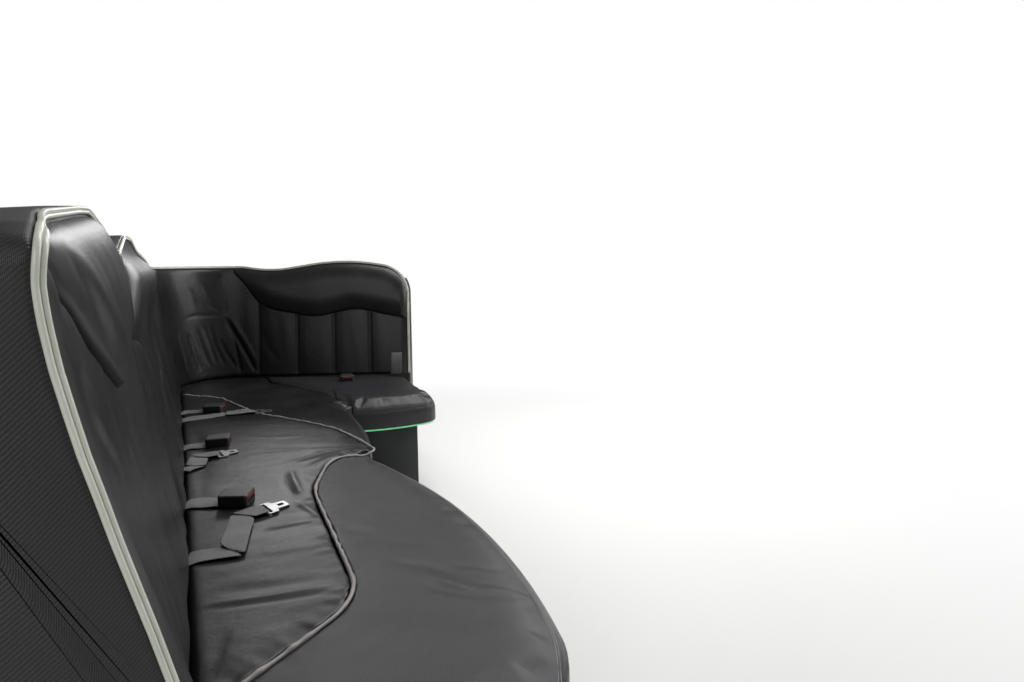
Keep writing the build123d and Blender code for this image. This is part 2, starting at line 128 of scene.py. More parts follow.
def rounded_line(corners: Sequence[Triple], step: float = 0.006) -> Array:
    """Round the corners of a line.

    Each inner corner becomes the arc of its radius that touches both sides.

    Args:
        corners: two coordinates and a radius for each corner, in millimetres.
        step: the distance between points on an arc, in metres.

    Returns:
        Points of the line in metres.
    """
    table = np.array(corners, float) * MM
    points = [table[0, :2]]
    for before, (x, y, radius), after in zip(table, table[1:], table[2:]):
        corner = np.array([x, y])
        back, ahead = unit(before[:2] - corner), unit(after[:2] - corner)
        half = math.acos(float(np.clip(back @ ahead, -1.0, 1.0))) / 2.0
        if radius <= 0.0 or half > math.pi / 2.0 - 1e-3:
            points.append(corner)
            continue
        centre = corner + unit(back + ahead) * radius / math.sin(half)
        first = corner + back * radius / math.tan(half) - centre
        last = corner + ahead * radius / math.tan(half) - centre
        turn = math.pi - 2.0 * half
        t = np.linspace(0.0, 1.0, max(3, int(turn * radius / step) + 2))[:, None]
        points.extend(centre + (np.sin((1.0 - t) * turn) * first + np.sin(t * turn) * last) / math.sin(turn))
    points.append(table[-1, :2])
    return np.array(points)


def arc_through(start: Array, middle: Array, end: Array, count: int = 60) -> Array:
    """Return points on the circle through three points.

    Args:
        start: the arc's first point.
        middle: a point that the arc passes.
        end: the arc's last point.
        count: how many points.

    Returns:
        The points, from start to end by way of middle.
    """
    a, b = middle - start, end - start
    cross = 2.0 * (a[0] * b[1] - a[1] * b[0])
    centre = start + np.array([b[1] * (a @ a) - a[1] * (b @ b), a[0] * (b @ b) - b[0] * (a @ a)]) / cross
    angles = np.unwrap([math.atan2(*(p - centre)[::-1]) for p in (start, middle, end)])
    at = np.linspace(angles[0], angles[2], count)
    return centre + np.linalg.norm(start - centre) * np.stack([np.cos(at), np.sin(at)], axis=1)


def nearest(points: Array, line: Array) -> tuple[Array, Array]:
    """Measure points against a line in the plane.

    Args:
        points: the points, one in each row.
        line: points of the line, in order.

    Returns:
        Each point's distance to the line, and how far along the line its nearest point is.
    """
    start, step = line[:-1], np.diff(line, axis=0)
    length = np.maximum(np.linalg.norm(step, axis=1), 1e-9)
    run = np.concatenate([[0.0], np.cumsum(length)])[:-1]
    best, along = np.full(len(points), 1e9), np.zeros(len(points))
    for k in range(len(step)):
        t = np.clip((points - start[k]) @ step[k] / length[k] ** 2, 0.0, 1.0)
        far = np.linalg.norm(points - start[k] - t[:, None] * step[k], axis=1)
        closer = far < best
        best = np.where(closer, far, best)
        along = np.where(closer, run[k] + t * length[k], along)
    return best, along


@dataclass(frozen=True)
class Rumple:
    """A smooth random height over a plane: a lattice of random values, eased between."""

    seed: int
    cell_x: float
    cell_y: float
    size: int = 64

    def at(self, x: Array, y: Array) -> Array:
        """Return the height at points of the plane.

        Args:
            x: the points' first coordinates.
            y: the points' second coordinates.

        Returns:
            A height from about -1 to 1 for each point.
        """
        lattice = np.random.default_rng(self.seed).uniform(-1.0, 1.0, (self.size, self.size))
        u, v = x / self.cell_x, y / self.cell_y
        i, j = np.floor(u).astype(int), np.floor(v).astype(int)
        s, t = ease(u - i), ease(v - j)
        rows = [[lattice[(i + a) % self.size, (j + b) % self.size] for b in (0, 1)] for a in (0, 1)]
        low = rows[0][0] * (1 - t) + rows[0][1] * t
        high = rows[1][0] * (1 - t) + rows[1][1] * t
        return low * (1 - s) + high * s


@dataclass(frozen=True)
class Crease:
    """A soft fold that follows a short line: a groove where depth is positive, else a ridge."""

    points: tuple[Pair, ...]
    depth: float
    width: float
    fade: float = 0.3

    def push(self, x: Array, y: Array) -> Array:
        """Return how far the fold sinks the surface.

        The section across the fold is a bell curve, and it fades out towards both ends.

        Args:
            x: first coordinates of the surface's points.
            y: their second coordinates.

        Returns:
            The depth at each point, in metres.
        """
        line = np.array(self.points, float) * MM
        corners = [(*p, 30.0) for p in np.array(self.points, float)]
        line = rounded_line(corners) if len(corners) > 2 else line
        flat = np.stack([x.ravel(), y.ravel()], axis=1)
        far, along = nearest(flat, line)
        whole = np.linalg.norm(np.diff(line, axis=0), axis=1).sum()
        share = along / whole
        fade = ease(np.minimum(share, 1.0 - share) / self.fade + 0.02)
        return (self.depth * MM * bell(far, self.width * MM) * fade).reshape(x.shape)


def creases(*rows: tuple, shift: Pair = (0.0, 0.0)) -> tuple[Crease, ...]:
    """Read a table of folds.

    Args:
        rows: the points of a fold, and last its depth, its width and its fade where that differs.
        shift: what is added to every point.

    Returns:
        The folds.
    """
    x, y = shift
    return tuple(Crease(tuple((x + a, y + b) for a, b in points), *size) for *points, size in rows)


# The seat's layout


@dataclass(frozen=True)
class Layout:
    """The seat's main sizes, and where its back and its nose run in plan."""

    seat: float = 0.400
    pad_rise: float = 0.022
    set_back: float = 0.015
    lean: float = math.tan(math.radians(6.5))
    depth: float = 0.185
    end_panel: float = 0.020
    end_line: tuple[Pair, ...] = (
        (22, 25.7), (209, -12.4), (250, -20.7), (288, -29.1), (325, -37.1), (361, -44.2), (394, -51),
        (427, -56.5), (458, -61.3), (488, -64.2), (503, -65), (517, -65.3), (531, -65.1), (560, -64.8))
    flare: Pair = (0.006, 0.013)
    flare_rise: Pair = (0.495, 0.545)
    flare_run: float = 0.17
    curl: float = 0.003
    curl_rise: Pair = (0.520, 0.560)
    panel_slope: Pair = (0.021, 0.091)
    corner_y: float = 2.376
    radius: float = 0.180
    slant: float = math.radians(24.0)
    front_run: float = 1.000
    corner_rise: float = 0.512
    side_top: tuple[Triple, ...] = (
        (0, 545, 23), (30, 558, 50), (168, 577, 300), (400, 598, 500), (505, 605, 300), (640, 586, 300),
        (830, 548, 250), (1110, 592, 500), (1300, 592, 400), (1450, 563, 400), (1850, 541, 1200))
    front_top: tuple[Triple, ...] = ((110, 493, 500), (430, 548, 900))
    front_top_end: Pair = (505, 140)

    @property
    def turn(self) -> float:
        """Return the angle that the back turns through at the corner."""
        return math.pi / 2.0 + self.slant

    @property
    def tangent(self) -> float:
        """Return how much of each straight run the corner's arc takes."""
        return self.radius / math.tan((math.pi / 2.0 - self.slant) / 2.0)

    @property
    def side_run(self) -> float:
        """Return where the corner starts along the back."""
        return self.corner_y - self.tangent

    @property
    def front_start(self) -> float:
        """Return where the corner ends along the back."""
        return self.side_run + self.radius * self.turn

    @property
    def length(self) -> float:
        """Return the whole length along the foot of the back."""
        return self.front_start + self.front_run - self.tangent

    def place(self, along: Array, rise: Array, out: Array) -> Array:
        """Turn places on the back into points in space.

        Args:
            along: distance along the foot of the back, round the corner.
            rise: height above the cushions' edge.
            out: distance into the cabin from the foot of the back.

        Returns:
            The points in the row's frame.
        """
        along, rise, out = np.broadcast_arrays(along, rise, out)
        angle = np.clip((along - self.side_run) / self.radius, 0.0, self.turn)
        spare = np.minimum(along - self.side_run, 0.0) + np.maximum(along - self.front_start, 0.0)
        near = self.radius - out
        x = self.radius - near * np.cos(angle) + spare * np.sin(angle)
        y = self.side_run + near * np.sin(angle) + spare * np.cos(angle)
        return np.stack([x, y, rise + self.seat], axis=-1) - ORIGIN

    def from_foot(self, points: Array, count: int = 300) -> tuple[Array, Array]:
        """Measure points in plan against the foot of the back.

        Args:
            points: points of the row's frame.
            count: how many points the foot's line has.

        Returns:
            Each point's distance from the foot, and its distance along it.
        """
        run = np.linspace(0.0, self.length, count)
        return nearest(points[:, :2], self.place(run, 0.0, 0.0)[:, :2])

    def face(self, along: Array, rise: Array, gap: Array) -> Array:
        """Return points at a gap in front of the back's face."""
        return self.place(along, rise, gap + self.face_out(along, rise))

    def face_out(self, along: Array, rise: Array) -> Array:
        """Return how far out the back's face is: it reclines, and flares towards the near end's top.

        Args:
            along: distance along the back's foot.
            rise: height above the cushions' edge.

        Returns:
            Distances into the cabin from the foot of the back.
        """
        low, high = self.flare
        flare = low + (high - low) * step_up(rise, self.flare_rise)
        flare = flare + self.curl * step_up(rise, self.curl_rise)
        flare = flare * (1.0 - ease(np.asarray(along) / self.flare_run))
        return flare - self.set_back - self.lean * np.asarray(rise)

    def panel_reach(self, along: Array, rise: Array) -> Array:
        """Return how far the near end's panel stands out of the back's face."""
        return np.maximum(self.end_edge(rise) - self.face_out(along, rise), 0.0)

    def padding(self, along: Array, rise: Array, thick: Array) -> Array:
        """Work out a closed pad on the back.

        By the near end the pad lies on the panel, and within a hand's width it comes down to
        the face.

        Args:
            along: distance along the back's foot.
            rise: height above the cushions' edge.
            thick: how thick the pad is.

        Returns:
            A ring of points for each place along: up the front, and down the back.
        """
        along, rise, thick = np.broadcast_arrays(along, rise, thick)
        reach = self.panel_reach(along, rise)
        front = self.face(along, rise, thick + reach * (1.0 - step_up(along, self.panel_slope)))
        back = self.face(along, rise, np.where(along < self.end_panel + 0.0007, reach, 0.0))
        return np.concatenate([front, back[:, ::-1][:, 1:-1]], axis=1)

    def end_edge(self, rise: Array) -> Array:
        """Return how far the near end's curved edge stands into the cabin at a rise."""
        table = np.array(self.end_line) * MM
        return np.interp(rise, table[:, 0], table[:, 1])

    def top_line(self) -> Array:
        """Return the top edge of the whole back, from end to end.

        Returns:
            Points of the edge as along and rise.
        """
        side, front = self.side_run / MM, self.front_start / MM
        end, level = self.length / MM, self.corner_rise / MM
        rise, rounding = self.front_top_end
        corners = [(0, 300, 0), *self.side_top, (side, level, 900), (front, level, 300)]
        corners += [(front + a, z, r) for a, z, r in self.front_top]
        return rounded_line([*corners, (end, rise, rounding), (end, 100, 0)], 0.003)

    def top(self, along: Array) -> Array:
        """Return the rise of the back's top edge at a distance along it."""
        line = self.top_line()[1:-1]
        return np.interp(np.maximum(along, 0.0006), line[:, 0], line[:, 1])


ORIGIN = np.array([-0.200, 0.0203, 0.0]) - np.array([*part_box("side_back_board")[0][:2], 0.0])
SEAT = Layout()


@dataclass(frozen=True)
class Nose:
    """The edge of the seat in plan: three arcs with rounded corners between them."""

    near: Pair = (425, 0)
    near_lobe: Pair = (533, 490)
    pinch: Pair = (446, 1010)
    far_lobe: Pair = (517, 1400)
    nook: Pair = (506, 1632)
    front_nose: Pair = (725, 1574)
    right: Pair = (893, 1588)

    def line(self) -> Array:
        """Return the nose from the near end of the back to the right end.

        Returns:
            Points of the line in seat axes.
        """
        p = {name: np.array(getattr(self, name), float) * MM for name in self.__dataclass_fields__}
        end = SEAT.place(np.array(SEAT.length), 0.0, 0.0)[:2] + ORIGIN[:2]
        arcs = [np.array([[0.0, 0.0]]), arc_through(p["near"], p["near_lobe"], p["pinch"]),
                arc_through(p["pinch"], p["far_lobe"], p["nook"])[1:],
                arc_through(p["nook"], p["front_nose"], p["right"])[1:], end[None, :]]
        return resample(np.concatenate(arcs), 0.006)


# Meshes


def shell_object(name: str, points: Array, faces: Array) -> Piece:
    """Make an object from whole arrays of points and four-sided faces.

    Args:
        name: the piece's name.
        points: the mesh's points.
        faces: four numbers of points for each face.

    Returns:
        The new object, in the scene.
    """
    mesh = bpy.data.meshes.new(name)
    mesh.vertices.add(len(points))
    mesh.vertices.foreach_set("co", points.astype(np.float32).ravel())
    mesh.loops.add(faces.size)
    mesh.loops.foreach_set("vertex_index", faces.astype(np.int32).ravel())
    mesh.polygons.add(len(faces))
    mesh.polygons.foreach_set("loop_start", np.arange(0, faces.size, 4, dtype=np.int32))
    mesh.polygons.foreach_set("use_smooth", np.ones(len(faces), bool))
    mesh.update(calc_edges=True)
    mesh.validate()
    piece = bpy.data.objects.new(name, mesh)
    bpy.context.scene.collection.objects.link(piece)
    return piece


def grid_faces(rows: int, columns: int, around: bool = False) -> Array:
    """Return the faces of a grid of points.

    Args:
        rows: how many rows of points.
        columns: how many points in a row.
        around: whether the last column joins the first.

    Returns:
        Four numbers of points for each face.
    """
    i = np.arange(rows - 1)[:, None]
    j = np.arange(columns if around else columns - 1)[None, :]
    after = (j + 1) % columns
    quads = [i * columns + j, (i + 1) * columns + j, (i + 1) * columns + after, i * columns + after]
    return np.stack([np.broadcast_to(q, (rows - 1, j.size)) for q in quads], -1).reshape(-1, 4)


def rework(piece: Piece, merge: float = 0.0, turn: bool = False, flat: float = 0.0) -> None:
    """Mend a piece's mesh.

    Args:
        piece: a mesh object.
        merge: the distance under which points are doubled, and are merged.
        turn: whether its faces are turned outwards.
        flat: the angle in degrees under which faces lie in one plane, and are joined.
    """
    work = bmesh.new()
    work.from_mesh(piece.data)
    if merge:
        bmesh.ops.remove_doubles(work, verts=work.verts, dist=merge)
    if turn:
        bmesh.ops.recalc_face_normals(work, faces=work.faces)
    if flat:
        bmesh.ops.dissolve_limit(work, angle_limit=math.radians(flat), verts=work.verts, edges=work.edges)
    work.to_mesh(piece.data)
    work.free()


def outwards(piece: Piece) -> Piece:
    """Merge a closed mesh's doubled points, turn its faces outwards, and return the piece."""
    rework(piece, merge=1e-5, turn=True)
    return piece


def bridged(name: str, sections: Array) -> Piece:
    """Make a closed tube whose two flat ends are strips of faces between their points.

    Each end's points are joined in pairs, first with last and so on to the middle.

    Args:
        name: the piece's name.
        sections: an array of rings, each with an even number of points.

    Returns:
        The new object, its faces outwards.
    """
    rings, count, _ = sections.shape
    i = np.arange(count // 2 - 1)
    strip = np.stack([i, i + 1, count - 2 - i, count - 1 - i], axis=1)
    faces = np.concatenate([grid_faces(rings, count, around=True), strip, strip + (rings - 1) * count])
    return outwards(shell_object(name, sections.reshape(-1, 3), faces))


def tube(name: str, sections: Array) -> Piece:
    """Make a closed tube from sections, each a ring of points, whose ends are drawn in to a point.

    Args:
        name: the piece's name.
        sections: an array of rings, points and coordinates.

    Returns:
        The new object, its faces outwards.
    """
    ends = [np.repeat(ring.mean(axis=0)[None, None], ring.shape[0], axis=1) for ring in sections[[0, -1]]]
    sections = np.concatenate([ends[0], sections, ends[1]])
    rings, count, _ = sections.shape
    return outwards(shell_object(name, sections.reshape(-1, 3), grid_faces(rings, count, around=True)))


def gather(items: bpy.types.bpy_prop_collection, key: str, width: int = 3,
           kind: type = np.float32) -> Array:
    """Read a value of every item of a mesh.

    Args:
        items: the mesh's vertices, loops or polygons.
        key: the value's name.
        width: how many numbers the value has.
        kind: the numbers' type.

    Returns:
        One item's numbers in each row.
    """
    found = np.empty(len(items) * width, kind)
    items.foreach_get(key, found)
    return found.reshape(-1, width)


def coordinates(piece: Piece) -> Array:
    """Return the points of a piece's mesh, one in each row."""
    return gather(piece.data.vertices, "co").astype(float)


def set_coordinates(piece: Piece, points: Array) -> None:
    """Move the points of a piece's mesh."""
    piece.data.vertices.foreach_set("co", points.astype(np.float32).ravel())
    piece.data.update()


def normals(piece: Piece) -> Array:
    """Return the outward direction at each point of a piece's mesh."""
    return gather(piece.data.vertices, "normal").astype(float)


def copy_of(node: str, name: str) -> Piece:
    """Copy a solid's mesh as a new piece, its loose triangles joined.

    Args:
        node: the solid's node.
        name: the piece's name.

    Returns:
        The new object.
    """
    piece = bpy.data.objects.new(name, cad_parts[node].data.copy())
    piece.data.materials.clear()
    bpy.context.scene.collection.objects.link(piece)
    rework(piece, merge=1e-5)
    return piece


def bake(piece: Piece) -> None:
    """Put a piece's modifiers into its mesh.

    Args:
        piece: a mesh object.
    """
    graph = bpy.context.evaluated_depsgraph_get()
    mesh = bpy.data.meshes.new_from_object(piece.evaluated_get(graph))
    piece.modifiers.clear()
    old, piece.data = piece.data, mesh
    bpy.data.meshes.remove(old)


def smooth_faces(piece: Piece) -> None:
    """Shade every face of a piece smooth."""
    piece.data.polygons.foreach_set("use_smooth", np.ones(len(piece.data.polygons), bool))


def subdivide(piece: Piece) -> None:
    """Finish a piece with one level of subdivision.

    Args:
        piece: a mesh object.
    """
    smooth_faces(piece)
    finish = piece.modifiers.new("finish", "SUBSURF")
    finish.levels = finish.render_levels = 1


def round_edges(piece: Piece, width: float, segments: int = 3) -> None:
    """Round the sharp edges of a piece copied from a solid.

    Args:
        piece: a mesh object.
        width: the rounding's width.
        segments: how many faces go round an edge.
    """
    rework(piece, flat=2.0)
    smooth_faces(piece)
    finish = piece.modifiers.new("edges", "BEVEL")
    finish.width = width
    finish.segments = segments
    finish.limit_method = "ANGLE"
    finish.angle_limit = math.radians(35.0)
    finish.harden_normals = True


def lay_uv(piece: Piece, chart: Callable[[Array, Array], Array]) -> None:
    """Give a piece a UV map in metres.

    Args:
        piece: a mesh object.
        chart: works out the map's coordinates from each loop's point and its face's normal.
    """
    mesh = piece.data
    index = gather(mesh.loops, "vertex_index", 1, np.int32)[:, 0]
    total = gather(mesh.polygons, "loop_total", 1, np.int32)[:, 0]
    facing = np.repeat(gather(mesh.polygons, "normal"), total, axis=0)
    uv = chart(coordinates(piece)[index], facing)
    layer = mesh.uv_layers.get("cloth") or mesh.uv_layers.new(name="cloth")
    layer.data.foreach_set("uv", uv.astype(np.float32).ravel())


def grid_uv(piece: Piece, u: Array, v: Array) -> None:
    """Give a piece the UV map that its points were worked out from.

    Args:
        piece: a mesh object.
        u: the first coordinate of each point.
        v: the second coordinate of each point.
    """
    index = gather(piece.data.loops, "vertex_index", 1, np.int32)[:, 0]
    layer = piece.data.uv_layers.new(name="cloth")
    layer.data.foreach_set("uv", np.stack([u, v], -1)[index].astype(np.float32).ravel())


def around_nose(points: Array, facing: Array) -> Array:
    """Chart a cushion or band by its plan on top, and by the nose and its height on its walls.

    Args:
        points: points of the row's frame.
        facing: the outward direction at each point.

    Returns:
        Map coordinates in metres.
    """
    plan = points[:, :2] + ORIGIN[:2]
    run = np.zeros(len(points))
    wall = np.abs(facing[:, 2]) < 0.55
    _, run[wall] = nearest(plan[wall], Nose().line()[::2])
    turn = math.radians(-22.0)
    top = plan @ np.array([[math.cos(turn), math.sin(turn)], [-math.sin(turn), math.cos(turn)]])
    return np.where(wall[:, None], np.stack([run, points[:, 2]], -1), top)


def around_back(points: Array, facing: Array) -> Array:
    """Chart the back by the distance along its foot and by height.

    Its top and its near end are charted by depth, and by along plus height.

    Args:
        points: points of the row's frame.
        facing: the outward direction at each point.

    Returns:
        Map coordinates in metres.
    """
    far, along = SEAT.from_foot(points)
    side = np.stack([along, points[:, 2]], -1)
    over = np.stack([-far, along + points[:, 2]], -1)
    turned = (facing[:, 2] > 0.7) | ((facing[:, 1] < -0.3) & (along < 0.06))
    return np.where(turned[:, None], over, side)


def upright_chart(points: Array, facing: Array) -> Array:
    """Chart a flat panel by the two axes that its faces turn least away from.

    Args:
        points: points of the row's frame.
        facing: the outward direction at each point.

    Returns:
        Map coordinates in metres.
    """
    x, y, z = points.T
    across = np.where(np.abs(facing[:, 0]) > np.abs(facing[:, 1]), y, x)
    flat = np.abs(facing[:, 2]) > 0.7
    return np.stack([np.where(flat, x, across), np.where(flat, y, z)], -1)


CLOTH = {"quality": 4, "mass": 0.3, "tension_stiffness": 18.0, "compression_stiffness": 18.0,
         "shear_stiffness": 6.0, "bending_stiffness": 0.6, "use_pressure": True, "vertex_group_mass": "held"}


def inflate(piece: Piece, voxel: float, cap: float, hold: Callable[[Array], Array],
            pressure: float = 4.0, frames: int = 20) -> None:
    """Blow a closed piece up as cloth, as a filled cover swells, and keep the result.

    Args:
        piece: a closed mesh, a little smaller than the finished cushion.
        voxel: the size of the new faces.
        cap: the furthest that a point may move.
        hold: works out which points stay put, 1 held and 0 free, from all the points.
        pressure: the air pressure inside.
        frames: how many frames to run.
    """
    remesh = piece.modifiers.new("remesh", "REMESH")
    remesh.mode = "VOXEL"
    remesh.voxel_size = voxel
    bake(piece)
    start = coordinates(piece)
    group = piece.vertex_groups.new(name="held")
    held = hold(start)
    for weight in np.unique(np.round(held, 1)):
        group.add(np.flatnonzero(np.round(held, 1) == weight).tolist(), float(weight), "REPLACE")
    cloth = piece.modifiers.new("cloth", "CLOTH")
    for key, value in CLOTH.items():
        setattr(cloth.settings, key, value)
    cloth.settings.uniform_pressure_force = pressure
    cloth.settings.effector_weights.gravity = 0.0
    scene = bpy.context.scene
    scene.frame_start, scene.frame_end = 1, frames
    cloth.point_cache.frame_start, cloth.point_cache.frame_end = 1, frames
    for step in range(1, frames + 1):
        scene.frame_set(step)
    graph = bpy.context.evaluated_depsgraph_get()
    result = piece.evaluated_get(graph).to_mesh()
    shift = gather(result.vertices, "co") - start
    far = np.linalg.norm(shift, axis=1, keepdims=True)
    piece.evaluated_get(graph).to_mesh_clear()
    piece.modifiers.clear()
    piece.vertex_groups.clear()
    set_coordinates(piece, start + shift * np.minimum(1.0, cap / np.maximum(far, 1e-9)))
    scene.frame_set(1)


# Shader maths


class Graph:
    """The nodes of one material, or of the world."""

    def __init__(self, owner: bpy.types.Material | bpy.types.World) -> None:
        """Start with no nodes.

        Args:
            owner: the material or world.
        """
        owner.use_nodes = True
        self.owner, self.tree = owner, owner.node_tree
        self.tree.nodes.clear()

    def add(self, kind: str, settings: dict | None = None, inputs: dict | None = None,
            output: str | int = 0) -> "Wire":
        """Add a node.

        Args:
            kind: the node's type, such as ShaderNodeTexNoise.
            settings: its properties, such as a Math node's operation.
            inputs: a value or a wire for each socket, by name or number.
            output: the socket that the returned wire carries.

        Returns:
            A wire from the node's output.
        """
        node = self.tree.nodes.new(kind)
        for key, value in (settings or {}).items():
            setattr(node, key, value)
        for key, value in (inputs or {}).items():
            socket = node.inputs[key]
            if isinstance(value, Wire):
                self.tree.links.new(value.socket, socket)
            elif isinstance(value, (tuple, list)) and len(value) == 3 and len(socket.default_value) == 4:
                socket.default_value = (*value, 1.0)
            else:
                socket.default_value = value
        return Wire(self, node.outputs[output] if node.outputs else None)

    def math(self, operation: str, *values: "Wire | float") -> "Wire":
        """Add a Math node on values or wires."""
        return self.add("ShaderNodeMath", {"operation": operation}, dict(enumerate(values)))

    def mix(self, factor: "Wire | float", first: "Wire | tuple", second: "Wire | tuple") -> "Wire":
        """Mix two colours by a factor."""
        return self.add("ShaderNodeMix", {"data_type": "RGBA"}, {0: factor, 6: first, 7: second}, 2)

    def place(self, scale: Triple = (1.0, 1.0, 1.0), uv: bool = False) -> "Wire":
        """Return scaled coordinates.

        Args:
            scale: the scale on each axis.
            uv: whether they come from the piece's own UV map, not from its object.

        Returns:
            A wire of coordinates.
        """
        start = (self.add("ShaderNodeUVMap", {"uv_map": "cloth"}) if uv
                 else self.add("ShaderNodeTexCoord", output="Object"))
        return self.add("ShaderNodeMapping", inputs={"Vector": start, "Scale": scale})

    def noise(self, where: "Wire", scale: float, detail: float = 3.0, rough: float = 0.5) -> "Wire":
        """Return a noise of values from 0 to 1."""
        return self.add("ShaderNodeTexNoise", inputs={"Vector": where, "Scale": scale, "Detail": detail,
                                                      "Roughness": rough})

    def bump(self, height: "Wire", distance: float, strength: float = 1.0,
             under: "Wire | None" = None) -> "Wire":
        """Return normals raised by a height.

        Args:
            height: the height.
            distance: how far a height of 1 is, in metres.
            strength: the share of it that is used.
            under: normals that these lie on top of.

        Returns:
            A wire of normals.
        """
        inputs = {"Height": height, "Distance": distance, "Strength": strength}
        if under is not None:
            inputs["Normal"] = under
        return self.add("ShaderNodeBump", inputs=inputs)

    def finish(self, **sockets: "Wire | float | tuple") -> bpy.types.Material:
        """End in a Principled shader.

        Args:
            **sockets: a value or a wire for each socket, named with underscores.

        Returns:
            The material.
        """
        names = {key.replace("_", " "): value for key, value in sockets.items()}
        surface = self.add("ShaderNodeBsdfPrincipled", inputs=names)
        self.add("ShaderNodeOutputMaterial", inputs={"Surface": surface})
        return self.owner


def operator(operation: str, swapped: bool = False) -> Callable[..., "Wire"]:
    """Make a method that adds a Math node on a wire.

    Args:
        operation: the node's operation.
        swapped: whether the other value comes first.

    Returns:
        The method.
    """
    def apply(self: "Wire", *others: "Wire | float") -> "Wire":
        """Add the node on this wire and the other values, and return its output."""
        values = (*others, self) if swapped else (self, *others)
        return self.graph.math(operation, *values)
    return apply


class Wire:
    """A node's output, on which arithmetic adds Math nodes."""

    def __init__(self, graph: Graph, socket: bpy.types.NodeSocket | None) -> None:
        """Wrap a socket of a graph."""
        self.graph, self.socket = graph, socket

    __add__ = __radd__ = operator("ADD")
    __mul__ = __rmul__ = operator("MULTIPLY")
    __sub__, __rsub__ = operator("SUBTRACT"), operator("SUBTRACT", swapped=True)
    __truediv__, __pow__ = operator("DIVIDE"), operator("POWER")
    sine, size = operator("SINE"), operator("ABSOLUTE")
    floor, fraction = operator("FLOOR"), operator("FRACT")
    below = operator("LESS_THAN")

    def between(self, low: float, high: float) -> "Wire":
        """Return the value's place between low and high, kept from 0 to 1."""
        return self.graph.add("ShaderNodeMapRange", inputs={"Value": self, "From Min": low, "From Max": high})

    def parts(self) -> tuple["Wire", "Wire", "Wire"]:
        """Return a vector's three parts."""
        split = self.graph.add("ShaderNodeSeparateXYZ", inputs={0: self}).socket.node
        return tuple(Wire(self.graph, split.outputs[k]) for k in range(3))


# Finishes


@dataclass(frozen=True)
class Leather:
    """Soft black leather: fine pebbled grain, broad wrinkles and a slight bloom."""

    name: str = "soft_black_leather"
    colour: Triple = (0.0070, 0.0064, 0.0066)
    worn: Triple = (0.0130, 0.0120, 0.0120)
    roughness: float = 0.29
    grain: float = 620.0
    grain_height: float = 0.00012

    def paint(self) -> bpy.types.Material:
        """Make the material.

        Returns:
            The material.
        """
        g = Graph(bpy.data.materials.new(self.name))
        where = g.place()
        cells = g.add("ShaderNodeTexVoronoi", {"feature": "DISTANCE_TO_EDGE"},
                      {"Vector": where, "Scale": self.grain, "Randomness": 0.9})
        pebble = cells.between(0.0, 0.22)
        cloud = g.noise(where, 7.0, 4.0)
        crumple = g.noise(where, 55.0, 5.0, 0.6)
        base = g.mix(cloud.between(0.35, 0.75), self.colour, self.worn)
        rough = self.roughness + 0.16 * cloud - 0.06 * pebble + 0.08 * crumple
        soft = g.bump(crumple, 0.0012, 0.45)
        return g.finish(Base_Color=base, Roughness=rough, Normal=g.bump(pebble, self.grain_height, 0.5, soft),
                        Specular_IOR_Level=0.42)


@dataclass(frozen=True)
class CarbonVinyl:
    """Black vinyl embossed as a twill of carbon ribbons, which run over two and under two."""

    name: str = "carbon_weave_vinyl"
    ribbon: float = 0.0010
    dark: Triple = (0.0060, 0.0058, 0.0066)
    light: Triple = (0.0310, 0.0298, 0.0330)
    roughness: float = 0.34

    def paint(self) -> bpy.types.Material:
        """Make the material.

        With i and j the whole ribbons counted in each direction, a crossing shows the ribbon
        that runs along where (i - j) modulo 4 is under 2, and each ribbon is round in section.

        Returns:
            The material.
        """
        g = Graph(bpy.data.materials.new(self.name))
        u, v, _ = g.place((1.0 / self.ribbon, 1.0 / self.ribbon, 1.0), uv=True).parts()
        step = ((u.floor() - v.floor()) * 0.25).fraction()
        over = step.below(0.49)
        round_u = 1.0 - ((u.fraction() - 0.5).size() * 2.0) ** 2.0
        round_v = 1.0 - ((v.fraction() - 0.5).size() * 2.0) ** 2.0
        height = over * round_v + (1.0 - over) * round_u
        where = g.place()
        cloud = g.noise(where, 5.0, 4.0)
        # The ribbons that run along are printed in the lighter tone; each ribbon's round crown is painted
        # lighter as well, a painted highlight.
        tone = over * 0.75 + height * 0.2 + cloud * 0.25
        base = g.mix(tone.between(0.05, 1.15), self.dark, self.light)
        rough = self.roughness + 0.14 * cloud - 0.07 * over
        soft = g.bump(g.noise(where, 40.0, 4.0), 0.0008, 0.3)
        return g.finish(Base_Color=base, Roughness=rough, Normal=g.bump(height, 0.00022, 0.7, soft))


@dataclass(frozen=True)
class Beading:
    """Pale, slightly milky moulded piping."""

    name: str = "pale_piping"
    colour: Triple = (0.68, 0.68, 0.60)
    shade: Triple = (0.52, 0.56, 0.47)

    def paint(self) -> bpy.types.Material:
        """Make the material.

        Returns:
            The material.
        """
        g = Graph(bpy.data.materials.new(self.name))
        where = g.place()
        cloud = g.noise(where, 18.0, 4.0)
        base = g.mix(cloud.between(0.4, 0.8), self.colour, self.shade)
        return g.finish(Base_Color=base, Roughness=0.26 + 0.15 * cloud, Coat_Weight=0.25,
                        Normal=g.bump(g.noise(where, 400.0, 2.0), 0.0001, 0.3))


@dataclass(frozen=True)
class Glow:
    """A green light strip behind a milky cover."""

    name: str = "green_light"
    colour: Triple = (0.32, 0.80, 0.45)
    lit: Triple = (0.10, 0.80, 0.30)
    strength: float = 0.30

    def paint(self) -> bpy.types.Material:
        """Make the material.

        Returns:
            The material.
        """
        g = Graph(bpy.data.materials.new(self.name))
        where = g.place()
        cloud = g.noise(where, 9.0, 2.0)
        lit = g.mix(cloud.between(0.3, 0.7), self.lit, tuple(0.75 * c for c in self.lit))
        return g.finish(Base_Color=self.colour, Roughness=0.3 + 0.1 * cloud, Emission_Color=lit,
                        Emission_Strength=self.strength)


